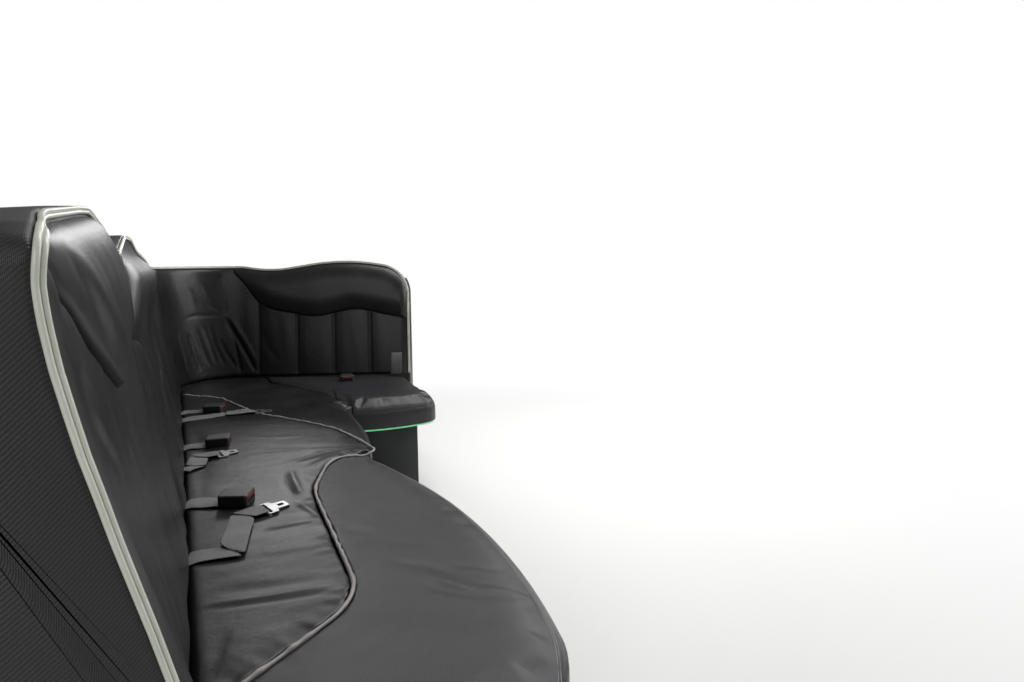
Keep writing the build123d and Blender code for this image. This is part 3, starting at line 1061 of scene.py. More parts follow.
@dataclass(frozen=True)
class Weave:
    """Black belt webbing: rows of herringbone cords across a ribbed strap, with a painted sheen on the cords'
    crests.
    """

    name: str = "black_webbing"
    colour: Triple = (0.030, 0.029, 0.030)
    sheen: Triple = (0.170, 0.164, 0.162)
    cord: float = 0.0011

    def paint(self) -> bpy.types.Material:
        """Make the material.

        The strap's map runs along it and across it. Each cord is a slanted ridge whose slant
        turns over from one band across the strap to the next.

        Returns:
            The material.
        """
        g = Graph(bpy.data.materials.new(self.name))
        u, v, _ = g.place((1.0 / self.cord, 1.0 / self.cord, 1.0), uv=True).parts()
        band = (v / 4.0).fraction() - 0.5
        ridge = ((u + band.size() * 4.0) * 3.14159).sine().size()
        edge = (band.size() * 2.0) ** 4.0
        height = ridge * (1.0 - 0.7 * edge)
        cloud = g.noise(g.place(), 25.0, 3.0)
        # The cords' crests are painted in the sheen colour: a painted sheen on the webbing.
        base = g.mix((height * 0.8 + cloud * 0.3).between(0.1, 1.1), self.colour, self.sheen)
        return g.finish(Base_Color=base, Roughness=0.62 - 0.12 * height, Sheen_Weight=0.25,
                        Sheen_Roughness=0.4, Normal=g.bump(height, 0.00025, 0.8))


@dataclass(frozen=True)
class Metal:
    """Steel, polished or plated, with fine scratches."""

    name: str
    colour: Triple = (0.80, 0.80, 0.82)
    roughness: float = 0.16
    spangle: float = 0.0

    def paint(self) -> bpy.types.Material:
        """Make the material.

        Returns:
            The material.
        """
        g = Graph(bpy.data.materials.new(self.name))
        scratch = g.noise(g.place((30.0, 400.0, 400.0)), 3.0, 4.0)
        patch = g.noise(g.place(), 70.0, 2.0)
        base = g.mix(patch.between(0.4, 0.6) * self.spangle, self.colour, tuple(0.7 * c for c in self.colour))
        rough = self.roughness + 0.14 * scratch + 0.1 * patch
        return g.finish(Base_Color=base, Metallic=1.0, Roughness=rough, Normal=g.bump(scratch, 0.00003, 0.4))


@dataclass(frozen=True)
class Moulding:
    """Moulded plastic with a fine spark texture."""

    name: str
    colour: Triple
    roughness: float = 0.42
    texture: float = 0.00008

    def paint(self) -> bpy.types.Material:
        """Make the material.

        Returns:
            The material.
        """
        g = Graph(bpy.data.materials.new(self.name))
        where = g.place()
        spark = g.noise(where, 1800.0, 2.0)
        cloud = g.noise(where, 30.0, 3.0)
        base = g.mix(cloud.between(0.3, 0.8), self.colour, tuple(1.25 * c for c in self.colour))
        return g.finish(Base_Color=base, Roughness=self.roughness + 0.12 * cloud,
                        Normal=g.bump(spark, self.texture, 0.6))


@dataclass(frozen=True)
class Plywood:
    """Birch plywood: long figure on its faces and darker plies on its cut edges."""

    name: str = "birch_plywood"
    pale: Triple = (0.60, 0.44, 0.27)
    dark: Triple = (0.44, 0.29, 0.16)

    def paint(self) -> bpy.types.Material:
        """Make the material.

        Returns:
            The material.
        """
        g = Graph(bpy.data.materials.new(self.name))
        warp = g.noise(g.place(), 2.0, 3.0)
        rings = g.noise(g.place((9.0, 0.8, 9.0)), 4.0, 5.0, 0.65)
        lines = ((rings * 26.0 + warp * 5.0).sine() * 0.5 + 0.5)
        fibre = g.noise(g.place((140.0, 3.0, 140.0)), 3.0, 3.0)
        tone = lines * 0.45 + fibre * 0.4 + warp * 0.15
        base = g.mix(tone.between(0.2, 0.9), self.pale, self.dark)
        return g.finish(Base_Color=base, Roughness=0.58 + 0.15 * fibre, Normal=g.bump(fibre, 0.0002, 0.5))


@dataclass(frozen=True)
class Carpet:
    """Short black needled carpet."""

    name: str = "black_kick_carpet"
    colour: Triple = (0.012, 0.012, 0.013)
    tips: Triple = (0.045, 0.045, 0.048)

    def paint(self) -> bpy.types.Material:
        """Make the material.

        Returns:
            The material.
        """
        g = Graph(bpy.data.materials.new(self.name))
        where = g.place()
        fuzz = g.noise(where, 900.0, 4.0, 0.7)
        patch = g.noise(where, 12.0, 3.0)
        base = g.mix((fuzz * 0.8 + patch * 0.3).between(0.35, 0.8), self.colour, self.tips)
        return g.finish(Base_Color=base, Roughness=0.92, Sheen_Weight=0.3, Sheen_Roughness=0.5,
                        Normal=g.bump(fuzz, 0.0015, 0.8))


class Finishes:
    """Every finish of the seat, one material for each slot."""

    def __init__(self) -> None:
        """Make all the materials."""
        self.materials = {
            Slot.LEATHER: Leather().paint(),
            Slot.VINYL: CarbonVinyl().paint(),
            Slot.PIPING: Beading().paint(),
            Slot.STRIP: Glow().paint(),
            Slot.ZINC: Metal("zinc_plate", (0.56, 0.57, 0.60), 0.34, 0.6).paint(),
            Slot.CARPET: Carpet().paint(),
            Slot.WEBBING: Weave().paint(),
            Slot.STEEL: Metal("polished_steel", (0.36, 0.36, 0.37), 0.26).paint(),
            Slot.BUTTON: Moulding("red_release_button", (0.20, 0.012, 0.010), 0.3).paint(),
            Slot.PLASTIC: Moulding("black_moulding", (0.016, 0.016, 0.017)).paint(),
            Slot.PLYWOOD: Plywood().paint(),
        }
        # Pale leather for the seam lip: its lightness is a painted highlight along the lip. The near lobe's
        # stitching thread takes it too.
        self.lip = Leather("painted_lip_highlight_and_pale_thread", (0.230, 0.215, 0.210), (0.310, 0.290, 0.280), 0.30).paint()

    def dress(self, piece: Piece, slot: Slot, *stands_for: str) -> Piece:
        """Give a new piece its finish, and fasten it to the seat.

        Args:
            piece: the new piece, in place.
            slot: the record's slot that its finish comes from.
            stands_for: the solids that it replaces.

        Returns:
            The piece.
        """
        piece.data.materials.clear()
        piece.data.materials.append(self.materials[slot])
        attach(piece, "root")
        if stands_for:
            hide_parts(*stands_for)
        log.info("%s: %d faces", piece.name, len(piece.data.polygons))
        return piece

    def repaint(self, node: str, slot: Slot) -> None:
        """Give a solid that stays its finish.

        Args:
            node: the solid's node.
            slot: the record's slot that its finish comes from.
        """
        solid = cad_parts[node]
        solid.data.materials.clear()
        solid.data.materials.append(self.materials[slot])


# Cushions

NEAR_CORNER = 0.024
NEAR_CORNER_RUN = (0.0, 0.14)
NARROWER = 0.006
NARROW_RUN = (0.85, 1.0)
DRAWN_IN = (0.20, 0.40)


def slimmed(points: Array) -> Array:
    """Draw in the near half of the seat, most at its near corner.

    Args:
        points: points of the row's frame.

    Returns:
        The points, moved.
    """
    x, y = (points[:, :2] + ORIGIN[:2]).T
    moved = points.copy()
    pull = NEAR_CORNER * (1.0 - step_up(y, NEAR_CORNER_RUN)) + NARROWER * (1.0 - step_up(y, NARROW_RUN))
    moved[:, 0] -= pull * step_up(x, DRAWN_IN)
    return moved


@dataclass(frozen=True)
class Cushion:
    """A filled cushion: its solid swelled as cloth, with its folds and drawn-in edges added."""

    node: str
    slot: Slot
    voxel: float = 0.0075
    swell: float = 0.006
    roll: float = 0.012
    drop: float = 0.005
    lower: float = 0.003
    shoulder: float = 0.022
    fall: float = 0.006
    fall_run: float = 0.10
    band: str = ""
    plateau: float = 45.0
    square_run: Pair = (0.010, 0.080)
    broad: float = 0.0016
    fine: float = 0.0004
    seam: tuple[Triple, ...] = ()
    folds: tuple[Crease, ...] = ()
    pucker: float = 0.0012
    seed: int = 1

    def build(self, finishes: Finishes) -> Piece:
        """Make the finished cushion.

        Args:
            finishes: the seat's finishes.

        Returns:
            The cushion.
        """
        piece = copy_of(self.node, self.node + "_cover")
        points = coordinates(piece)
        low, high = points[:, 2].min(), points[:, 2].max()
        points[:, 2] = low + (points[:, 2] - low) * (high - low - self.swell) / (high - low)
        set_coordinates(piece, points)
        middle = (low + high) / 2.0
        inflate(piece, self.voxel, self.swell, lambda p: ease((middle - p[:, 2]) / 0.012 + 0.5))
        subdivide(piece)
        bake(piece)
        points, facing = coordinates(piece), normals(piece)
        level = np.percentile(points[facing[:, 2] > 0.8, 2], self.plateau)
        points = self.squared(points, middle, level)
        points = self.shape(self.rounded(points, high), facing, high)
        top = high - 0.012
        share = np.clip((top - points[:, 2]) / (top - low), 0.0, 1.0)
        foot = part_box(self.band)[0][2] if self.band else low
        points[:, 2] -= (low - foot) * share
        set_coordinates(piece, slimmed(points))
        lay_uv(piece, around_nose)
        smooth_faces(piece)
        finishes.dress(piece, self.slot, self.node, *([self.band] if self.band else []))
        return piece

    def squared(self, points: Array, middle: float, level: float) -> Array:
        """Fill out the top's edge where the back or a neighbour meets it, and the whole lower edge.

        There a height t from the cushion's middle towards its top or bottom becomes 1 - (1 - t)^3.

        Args:
            points: the cushion's points.
            middle: the height of its middle.
            level: the height of most of its top.

        Returns:
            The points, moved up or down.
        """
        far, _ = SEAT.from_foot(points, 400)
        if self.seam:
            by_seam, _ = nearest(points[:, :2] + ORIGIN[:2], rounded_line(self.seam)[::2])
            far = np.minimum(far, by_seam + 0.006)
        moved, low = points.copy(), points[:, 2].min()
        t = np.clip((points[:, 2] - middle) / (level - middle), 0.0, 1.0)
        moved[:, 2] += (level - middle) * (1.0 - (1.0 - t) ** 3 - t) * (1.0 - step_up(far, self.square_run))
        t = np.clip((middle - points[:, 2]) / (middle - low), 0.0, 1.0)
        moved[:, 2] -= (middle - low) * (1.0 - (1.0 - t) ** 3 - t)
        return moved

    def rounded(self, points: Array, high: float) -> Array:
        """Round the upper edge along the seat's nose, and crown the top.

        In the section across the nose, a point past the quarter circle of the shoulder's radius
        moves straight towards the circle's centre until it lies on it.

        Args:
            points: the cushion's points.
            high: the height of the cushion's top.

        Returns:
            The points, moved.
        """
        line = Nose().line()
        run_of_line = run_of(line)
        plan = points[:, :2] + ORIGIN[:2]
        _, run = nearest(plan, line)
        foot = np.stack([np.interp(run, run_of_line, line[:, k]) for k in (0, 1)], 1)
        ahead = np.stack([np.interp(run + 0.004, run_of_line, line[:, k]) for k in (0, 1)], 1)
        before = np.stack([np.interp(run - 0.004, run_of_line, line[:, k]) for k in (0, 1)], 1)
        inward = -to_right(ahead - before)
        deep = np.sum((plan - foot) * inward, axis=1)
        a = np.maximum(self.shoulder - deep, 0.0)
        b = np.maximum(points[:, 2] - (high - self.shoulder), 0.0)
        far = np.hypot(a, b)
        keep = np.where(far > self.shoulder, self.shoulder / np.maximum(far, 1e-9), 1.0)
        keep = np.where((a > 0.0) & (b > 0.0), keep, 1.0)
        moved = points.copy()
        moved[:, :2] += inward * (a * (1.0 - keep))[:, None]
        moved[:, 2] -= b * (1.0 - keep)
        upper = ease((points[:, 2] - high + 0.045) / 0.035)
        moved[:, 2] -= self.fall * (1.0 - ease(deep / self.fall_run)) * upper
        return moved

    def shape(self, points: Array, facing: Array, high: float) -> Array:
        """Give the top its wrinkles, folds and puckered seam.

        The top sinks a little over a broad strip beside the seam, then by a quarter circle over
        the roll next to it. Small puckers run across the seam, and every fold sinks the surface
        along its line.

        Args:
            points: the cushion's points.
            facing: the outward direction at each point.
            high: the height of the cushion's top.

        Returns:
            The points, moved.
        """
        plan = points[:, :2] + ORIGIN[:2]
        top = ease((points[:, 2] - (high - 0.028)) / 0.02) * ease(facing[:, 2] * 1.6)
        sink = np.zeros(len(points))
        if self.seam:
            far, along = nearest(plan, rounded_line(self.seam)[::2])
            near = np.clip(1.0 - far / self.roll, 0.0, 1.0)
            sink += self.drop * (1.0 - np.sqrt(1.0 - np.square(near))) + self.lower * bell(far, 0.06)
            wave = Rumple(self.seed, 0.016, 1.0).at(along, np.zeros_like(along))
            sink += self.pucker * wave * bell(far - 0.008, 0.024)
        for fold in self.folds:
            sink += fold.push(plan[:, 0], plan[:, 1])
        broad = Rumple(self.seed + 10, 0.11, 0.16).at(plan[:, 0] + 0.6 * plan[:, 1], plan[:, 1])
        fine = Rumple(self.seed + 20, 0.05, 0.024).at(plan[:, 0], plan[:, 1])
        sink += self.broad * broad + self.fine * fine
        moved = points.copy()
        moved[:, 2] -= sink * top
        return moved


SEAM = ((-60, 160, 0), (228, 335, 130), (250, 800, 300), (325, 985, 130), (470, 1030, 30),
        (400, 1300, 400), (215, 1590, 400), (130, 1900, 200), (-60, 2080, 0))
NEAR_SEAM = ((0, 195, 0), (228, 335, 130), (250, 800, 300), (325, 985, 130), (452, 1024, 0))
FAR_SEAM = ((455, 1034, 0), (400, 1300, 400), (215, 1590, 400), (130, 1900, 200), (0, 2030, 0))
NEAR_FOLDS = creases(
    ((300, 420), (361, 365), (395, 300), (2.2, 11)),
    ((335, 360), (367, 300), (392, 262), (462, 220), (-2.6, 11)),
    ((318, 330), (365, 275), (405, 241), (466, 208), (2.4, 10)),
    ((380, 362), (444, 312), (480, 290), (1.5, 10)),
    ((400, 285), (455, 243), (490, 220), (1.4, 8)),
    ((250, 600), (289, 552), (330, 520), (1.2, 14)),
    ((262, 700), (350, 640), (430, 560), (0.9, 18)),
    ((262, 530), (340, 470), (430, 400), (0.8, 16)),
)
FRONT_FOLDS = creases(
    ((480, 1760), (600, 1720), (720, 1700), (1.6, 18)),
    ((520, 1900), (640, 1850), (760, 1830), (1.4, 20)),
    ((450, 1840), (560, 1800), (640, 1790), (-1.4, 16)),
)
PAD_FOLDS = creases(
    ((0, 440), (84, 416), (215, 380), (-2.2, 6)),
    ((10, 425), (90, 400), (205, 366), (1.2, 6)),
    ((10, 470), (95, 445), (210, 410), (1.6, 15)),
    ((120, 655), (186, 647), (240, 640), (-2.6, 7)),
    ((228, 980), (224, 900), (220, 765), (-2.6, 8)),
    ((204, 960), (200, 860), (206, 770), (1.2, 8)),
    ((205, 765), (229, 673), (240, 640), (-2.2, 8)),
    ((130, 1135), (225, 1110), (290, 1095), (-1.6, 10)),
    ((210, 1010), (330, 1040), (446, 1038), (-4.0, 11)),
    ((250, 960), (330, 1008), (430, 1014), (3.4, 9)),
    ((300, 1075), (350, 1060), (410, 1050), (2.4, 9)),
    ((180, 1200), (300, 1120), (440, 1055), (1.8, 16)),
    ((140, 720), (200, 700), (240, 690), (1.2, 12)),
    ((90, 560), (170, 545), (235, 520), (-1.2, 14)),
    ((120, 1330), (240, 1260), (330, 1230), (-1.2, 16)),
    ((80, 1500), (160, 1470), (250, 1440), (1.0, 18)),
)


def cushions() -> list[Cushion]:
    """List the seat's four cushions.

    Returns:
        The cushions.
    """
    return [
        Cushion("inner_pad", Slot.LEATHER, 0.008, seam=SEAM, roll=0.005, drop=0.0015, lower=-0.001,
                folds=PAD_FOLDS, pucker=0.0020, seed=3),
        Cushion("near_lobe", Slot.VINYL, seam=NEAR_SEAM, roll=0.004, drop=0.001, lower=0.001, shoulder=0.016,
                fall=0.010, folds=NEAR_FOLDS, pucker=0.0006, seed=5),
        Cushion("far_lobe", Slot.LEATHER, seam=FAR_SEAM, roll=0.006, drop=0.002, pucker=0.001, seed=7),
        Cushion("front_cushion", Slot.VINYL, shoulder=0.045, fall=0.012, fall_run=0.16, band="front_fascia",
                folds=FRONT_FOLDS, seed=9),
    ]


class Surface:
    """The height of the cushions over the plan, for what lies on them."""

    def __init__(self, pieces: Sequence[Piece], cell: float = 0.008) -> None:
        """Average the upper points of the pieces in each cell of a grid, and fill the empty cells.

        Args:
            pieces: the cushions.
            cell: the size of a cell.
        """
        points = np.concatenate([coordinates(piece)[normals(piece)[:, 2] > 0.5] for piece in pieces])
        points = points[points[:, 2] > points[:, 2].max() - 0.035]
        self.cell, self.low = cell, points[:, :2].min(axis=0) - 2.0 * cell
        i, j = np.floor((points[:, :2] - self.low) / cell).astype(int).T
        total, count = np.zeros((i.max() + 4, j.max() + 4)), np.zeros((i.max() + 4, j.max() + 4))
        np.add.at(total, (i, j), points[:, 2])
        np.add.at(count, (i, j), 1.0)
        for _ in range(5):
            sums = [sum(np.roll(grid, step, axis) for step in (-1, 1) for axis in (0, 1))
                    for grid in (total / np.maximum(count, 1.0), np.minimum(count, 1.0))]
            empty = (count == 0.0) & (sums[1] > 0.0)
            total = np.where(empty, sums[0] / np.maximum(sums[1], 1.0), total)
            count = np.where(empty, 1.0, count)
        self.grid = total / np.maximum(count, 1.0)

    def height(self, x: Array, y: Array) -> Array:
        """Return the height at points, blended between the cells.

        Args:
            x: the points' first coordinates in the row's frame.
            y: their second coordinates.

        Returns:
            A height for each point.
        """
        u, v = (x - self.low[0]) / self.cell - 0.5, (y - self.low[1]) / self.cell - 0.5
        u, v = np.clip(u, 0, self.grid.shape[0] - 2.001), np.clip(v, 0, self.grid.shape[1] - 2.001)
        i, j = u.astype(int), v.astype(int)
        s, r = u - i, v - j
        low = self.grid[i, j] * (1 - r) + self.grid[i, j + 1] * r
        high = self.grid[i + 1, j] * (1 - r) + self.grid[i + 1, j + 1] * r
        return low * (1 - s) + high * s


@dataclass(frozen=True)
class Edging:
    """The thin leather lip along the wavy seam, painted pale as its highlight, and the double row of
    stitching round the near lobe.
    """

    lip: float = 0.0038
    thread: float = 0.0006
    rows: Pair = (0.0170, 0.0210)
    lobe_run: Pair = (0.20, 1.44)
    sides: int = 8

    def build(self, finishes: Finishes, surface: Surface) -> None:
        """Make the lip and both rows of stitching.

        Args:
            finishes: the seat's finishes.
            surface: the cushions' height.
        """
        line = resample(rounded_line(SEAM), 0.004)
        line = line[(line[:, 0] > 0.004) & (line[:, 1] > 0.0)]
        wave = Rumple(61, 0.013, 1.0).at(np.arange(len(line)) * 0.004, np.zeros(len(line)))
        lip = self.lay("seam_lip", line, surface, self.lip * (1.0 + 0.25 * wave), 0.5)
        finishes.dress(lip, Slot.LEATHER)
        # The seam lip's pale finish is a painted highlight.
        lip.data.materials[0] = finishes.lip
        far = resample(rounded_line(FAR_SEAM), 0.004)
        far = far[far[:, 0] > 0.010]
        far_lip = self.lay("far_seam_lip", far, surface, np.full(len(far), 0.45 * self.lip), 0.4)
        finishes.dress(far_lip, Slot.LEATHER)
        nose = Nose().line()
        run = run_of(nose)
        kept = (run > self.lobe_run[0]) & (run < self.lobe_run[1])
        inward = -to_right(np.gradient(nose, axis=0))
        for number, inset in enumerate(self.rows):
            row = np.pad((nose + inward * inset)[kept] - ORIGIN[:2], ((0, 0), (0, 1)))
            row = slimmed(row)[:, :2] + ORIGIN[:2]
            thick = np.full(len(row), self.thread)
            stitches = self.lay(f"lobe_stitching_{number + 1}", row, surface, thick, 0.6)
            finishes.dress(stitches, Slot.VINYL)
            stitches.data.materials[0] = finishes.lip

    def lay(self, name: str, line: Array, surface: Surface, radius: Array, lift: float) -> Piece:
        """Lay a tube of varying radius on the cushions.

        Args:
            name: the piece's name.
            line: its line in plan, in seat axes.
            surface: the cushions' height.
            radius: the tube's radius at each point of the line.
            lift: how far its centre is over the cushions, as a share of the radius.

        Returns:
            The tube.
        """
        x, y = (line - ORIGIN[:2]).T
        height = surface.height(x, y)
        height = np.convolve(np.pad(height, 3, "edge"), np.full(7, 1.0 / 7.0), "valid")
        side = -to_right(np.gradient(line, axis=0))
        angle = np.linspace(0.0, 2.0 * math.pi, self.sides, endpoint=False)
        ring = radius[:, None] * np.cos(angle)[None, :]
        points = np.stack([x[:, None] + side[:, :1] * ring, y[:, None] + side[:, 1:] * ring,
                           (height + lift * radius)[:, None] + radius[:, None] * np.sin(angle)[None, :]], -1)
        return tube(name, points)


# The back


@dataclass(frozen=True)
class Edge:
    """A line on the back, from a table of along, rise and rounding in millimetres."""

    table: tuple[Triple, ...]
    start: float = 0.0

    def at(self, along: Array) -> Array:
        """Return the line's rise at a distance along the back."""
        line = rounded_line(self.table)
        return np.interp(along - self.start, line[:, 0], line[:, 1])


SIDE_CREASE = Edge(((-60, 556, 0), (40, 524, 120), (120, 490, 220), (215, 434, 300), (325, 380, 60),
                    (410, 379, 50), (500, 405, 60), (575, 411, 200), (690, 400, 200), (830, 369, 300),
                    (960, 314, 300), (1160, 205, 200), (2010, 585, 0)))
VALLEY = Edge(((560, 300, 0), (640, 410, 20), (985, 580, 20), (1100, 700, 0)))
FRONT_CREASE = Edge(((-80, 560, 0), (60, 330, 160), (300, 280, 300), (480, 322, 200), (760, 262, 0)),
                    SEAT.front_start)
FRONT_VALLEYS = (56, 222, 384, 545)
PAD_INSET = 0.013


def pad_thickness(rise: Array) -> Array:
    """Return how thick the pad under the bolsters is: full at the cushion, thin by the creases."""
    return 0.017 - 0.010 * ease(np.asarray(rise) / 0.40)


def nosed(v: Array, low: float, high: float) -> Array:
    """Return a section's thickness from 0 to 1, with a quarter circle at each end.

    Args:
        v: the place across the section, from 0 to 1.
        low: the share that the first quarter circle takes.
        high: the share that the last one takes.

    Returns:
        A thickness for each place.
    """
    start = np.sqrt(np.clip(1.0 - np.square(1.0 - np.clip(v / low, 0.0, 1.0)), 0.0, 1.0))
    end = np.sqrt(np.clip(1.0 - np.square(1.0 - np.clip((1.0 - v) / high, 0.0, 1.0)), 0.0, 1.0))
    return start * end


@dataclass(frozen=True)
class Bolster:
    """A roll of padding on the back, which rises from a crease at its foot and thins to the piping."""

    name: str
    node: str
    start: float
    end: float
    lower: Callable[[Array], Array]
    upper: Callable[[Array], Array]
    thick: Callable[[Array, Array], Array]
    under: float = 0.075
    over: float = 0.075
    step: float = 0.012
    ends: Pair = (0.10, 0.10)
    folds: tuple[Crease, ...] = ()
    seed: int = 30
    columns: int = 200
    rows: int = 60
    edge_share: float = 0.40
    ripple: float = 0.0008
    calm: float = 0.05

    def build(self, finishes: Finishes) -> Piece:
        """Make the bolster.

        Its height over the back depends on how far a point is from the crease at the foot and
        from the top edge: a small step beside the crease, a quarter sine wave over the roll,
        and a quarter circle down to the top edge.

        Args:
            finishes: the seat's finishes.

        Returns:
            The bolster.
        """
        even = np.linspace(0.0, 1.0, self.columns)
        bunched = (1.0 - np.cos(math.pi * even)) / 2.0
        line = self.start + (self.end - self.start) * (0.3 * bunched + 0.7 * even)
        along = line[:, None]
        v = ((1.0 - np.cos(np.linspace(0.0, math.pi, self.rows))) / 2.0)[None, :]
        low, high = self.lower(along), self.upper(along)
        low = np.minimum(low, high - 0.003)
        rise = low + (high - low) * v
        reach = np.minimum((along - self.start) / self.ends[0], (self.end - along) / self.ends[1])
        taper = self.quarter(reach, 1.0)
        from_foot = self.distance(along, rise, line, low[:, 0])
        from_top = self.distance(along, rise, line, high[:, 0])
        full = self.thick(along, rise)
        lip = np.minimum(0.45 * pad_thickness(low), full)
        roll = self.edge_share * self.quarter(from_foot, self.step)
        swell = np.sin(0.5 * math.pi * np.clip(from_foot / self.under, 0.0, 1.0))
        roll = roll + (1.0 - self.edge_share) * swell
        gap = (lip + (full - lip) * roll) * self.quarter(from_top, self.over)
        calm = ease(from_foot / self.calm) * ease(from_top / self.calm)
        sink = self.ripple * Rumple(self.seed, 0.09, 0.20).at(along + 0.5 * rise, rise)
        for fold in self.folds:
            sink = sink + fold.push(*np.broadcast_arrays(along, rise))
        gap = np.maximum((gap - sink * calm) * taper * (v < 1.0) * (v > 0.0), 0.0003)
        piece = bridged(self.name, SEAT.padding(along, rise, gap))
        finishes.dress(piece, Slot.LEATHER, self.node)
        return piece

    @staticmethod
    def quarter(distance: Array, width: float) -> Array:
        """Return a quarter circle's height, from 0 at no distance to 1 at a width and beyond."""
        return np.sqrt(1.0 - np.square(1.0 - np.clip(distance / width, 0.0, 1.0)))

    @staticmethod
    def distance(along: Array, rise: Array, line: Array, edge: Array) -> Array:
        """Return how far points of the back are from an edge.

        Args:
            along: distance along the back's foot.
            rise: height above the cushions' edge.
            line: distances along the back.
            edge: the edge's rise at each of them.

        Returns:
            A distance for each point.
        """
        flat = np.stack([a.ravel() for a in np.broadcast_arrays(along, rise)], axis=1)
        far, _ = nearest(flat, np.stack([line, edge], axis=1)[::2])
        return far.reshape(rise.shape)


@dataclass(frozen=True)
class BackPad:
    """The long padded face of the back, from the near end round the corner to the right end."""

    step: float = 0.0060
    round_end: float = 0.012
    soft_end: float = 0.035
    room: float = 0.0088
    rows: int = 84
    broad: float = 0.0042
    fine: float = 0.0014
    valley: Pair = (0.0075, 0.0045)
    hollow: Pair = (0.0040, 0.030)
    folds: tuple[Crease, ...] = ()

    def upper(self, along: Array) -> Array:
        """Return the rise of the pad's upper edge.

        Args:
            along: distance along the back's foot.

        Returns:
            A rise for each distance.
        """
        top = SEAT.top(along) - PAD_INSET
        side = SIDE_CREASE.at(along) + 0.006
        front = FRONT_CREASE.at(along) + 0.006
        past_side = np.where(along > SEAT.front_start - 0.08, front, top)
        return np.minimum(top, np.where(along < SEAT.side_run, side, past_side))

    def build(self, finishes: Finishes) -> Piece:
        """Make the pad, with its upright folds, its corner pleats and its sewn channels.

        Args:
            finishes: the seat's finishes.

        Returns:
            The pad.
        """
        start, end = self.room, SEAT.length - self.room
        turn = self.round_end * (1.0 - np.cos(np.linspace(0.0, math.pi / 2.0, 7)))[:-1]
        middle = np.linspace(start + self.round_end, end - self.round_end, int((end - start) / self.step))
        along = np.concatenate([start + turn, middle, (end - turn)[::-1]])[:, None]
        t = np.linspace(0.0, 1.0, self.rows)
        v = (0.55 * t + 0.45 * (1.0 - np.cos(math.pi * t)) / 2.0)[None, :]
        low, high = SEAT.pad_rise - 0.004, self.upper(along)
        rise = low + (high - low) * v
        edge = nosed(v, 0.05, 0.045 + 0.14 * ease((along - 0.55) / 0.30) * (along < SEAT.side_run))
        reach = np.minimum(along - start, end - along)
        edge = edge * np.sin(0.5 * math.pi * np.clip(reach / self.soft_end, 0.0, 1.0))
        gap = pad_thickness(rise) * edge
        sink = self.wrinkles(along, rise) + self.channels(along, rise)
        for fold in self.folds:
            sink = sink + fold.push(*np.broadcast_arrays(along, rise))
        gap = np.maximum(gap - sink * nosed(v, 0.10, 0.08) * ease(reach / 0.03), 0.0004)
        piece = bridged("back_pad", SEAT.padding(along, rise, gap))
        finishes.dress(piece, Slot.LEATHER, "side_lower_pad", "corner_pad", "front_lower_pad")
        return piece

    def wrinkles(self, along: Array, rise: Array) -> Array:
        """Return the loose leather's soft upright folds, strongest low on the side back.

        Args:
            along: distance along the back's foot.
            rise: height above the cushions' edge.

        Returns:
            A depth for each point.
        """
        slant = along + 0.18 * rise
        broad = Rumple(41, 0.085, 0.45).at(slant, rise)
        fine = Rumple(42, 0.030, 0.22).at(slant, rise)
        side = 1.0 - ease((along - SEAT.side_run) / 0.25)
        return (self.broad * broad + self.fine * fine) * (0.35 + 0.65 * side)

    def channels(self, along: Array, rise: Array) -> Array:
        """Return the depth of the sewn valleys between the front's upright channels.

        Each valley is a narrow bell curve in the middle of a broad one.

        Args:
            along: distance along the back's foot.
            rise: height above the cushions' edge.

        Returns:
            A depth for each point.
        """
        place = (along - SEAT.front_start) * np.ones_like(rise)
        sink = np.zeros_like(place)
        for at in FRONT_VALLEYS:
            far = np.abs(place - at * MM)
            for depth, width in (self.valley, self.hollow):
                sink = sink + depth * bell(far, width)
        return sink


BOLSTER_FOLDS = creases(
    ((95, 560), (150, 520), (215, 462), (290, 400), (2.6, 9, 0.35)),
    ((125, 566), (180, 522), (245, 468), (320, 412), (-2.4, 15, 0.4)),
    ((210, 575), (270, 525), (345, 460), (385, 410), (1.1, 16, 0.4)),
    ((330, 590), (375, 540), (430, 470), (-1.2, 20, 0.4)),
    ((470, 590), (490, 530), (500, 450), (1.1, 18, 0.4)),
    ((640, 560), (625, 520), (585, 440), (1.0, 18, 0.4)),
)
FAR_BOLSTER_FOLDS = creases(
    ((1020, 520), (1060, 430), (1120, 330), (1.6, 15)),
    ((1160, 560), (1180, 430), (1200, 280), (1.4, 16)),
    ((1320, 560), (1300, 440), (1260, 300), (1.4, 16)),
    ((1500, 540), (1450, 440), (1370, 320), (1.4, 15)),
)
SIDE_FOLDS = creases(
    ((85, 444), (110, 428), (150, 403), (2.4, 7)),
    ((92, 408), (131, 371), (178, 326), (2.4, 8)),
    ((110, 400), (150, 366), (200, 318), (-1.8, 10)),
    ((283, 345), (294, 288), (308, 249), (-2.0, 12)),
    ((520, 372), (601, 340), (700, 260), (776, 105), (-2.2, 16)),
    ((600, 360), (720, 270), (860, 150), (2.0, 15)),
    ((66, 500), (78, 470), (76, 430), (-2.2, 13)),
    ((330, 370), (360, 280), (400, 160), (420, 60), (1.8, 14)),
    ((200, 300), (228, 210), (262, 110), (280, 50), (-1.8, 13)),
    ((130, 340), (150, 240), (190, 120), (1.6, 14)),
)
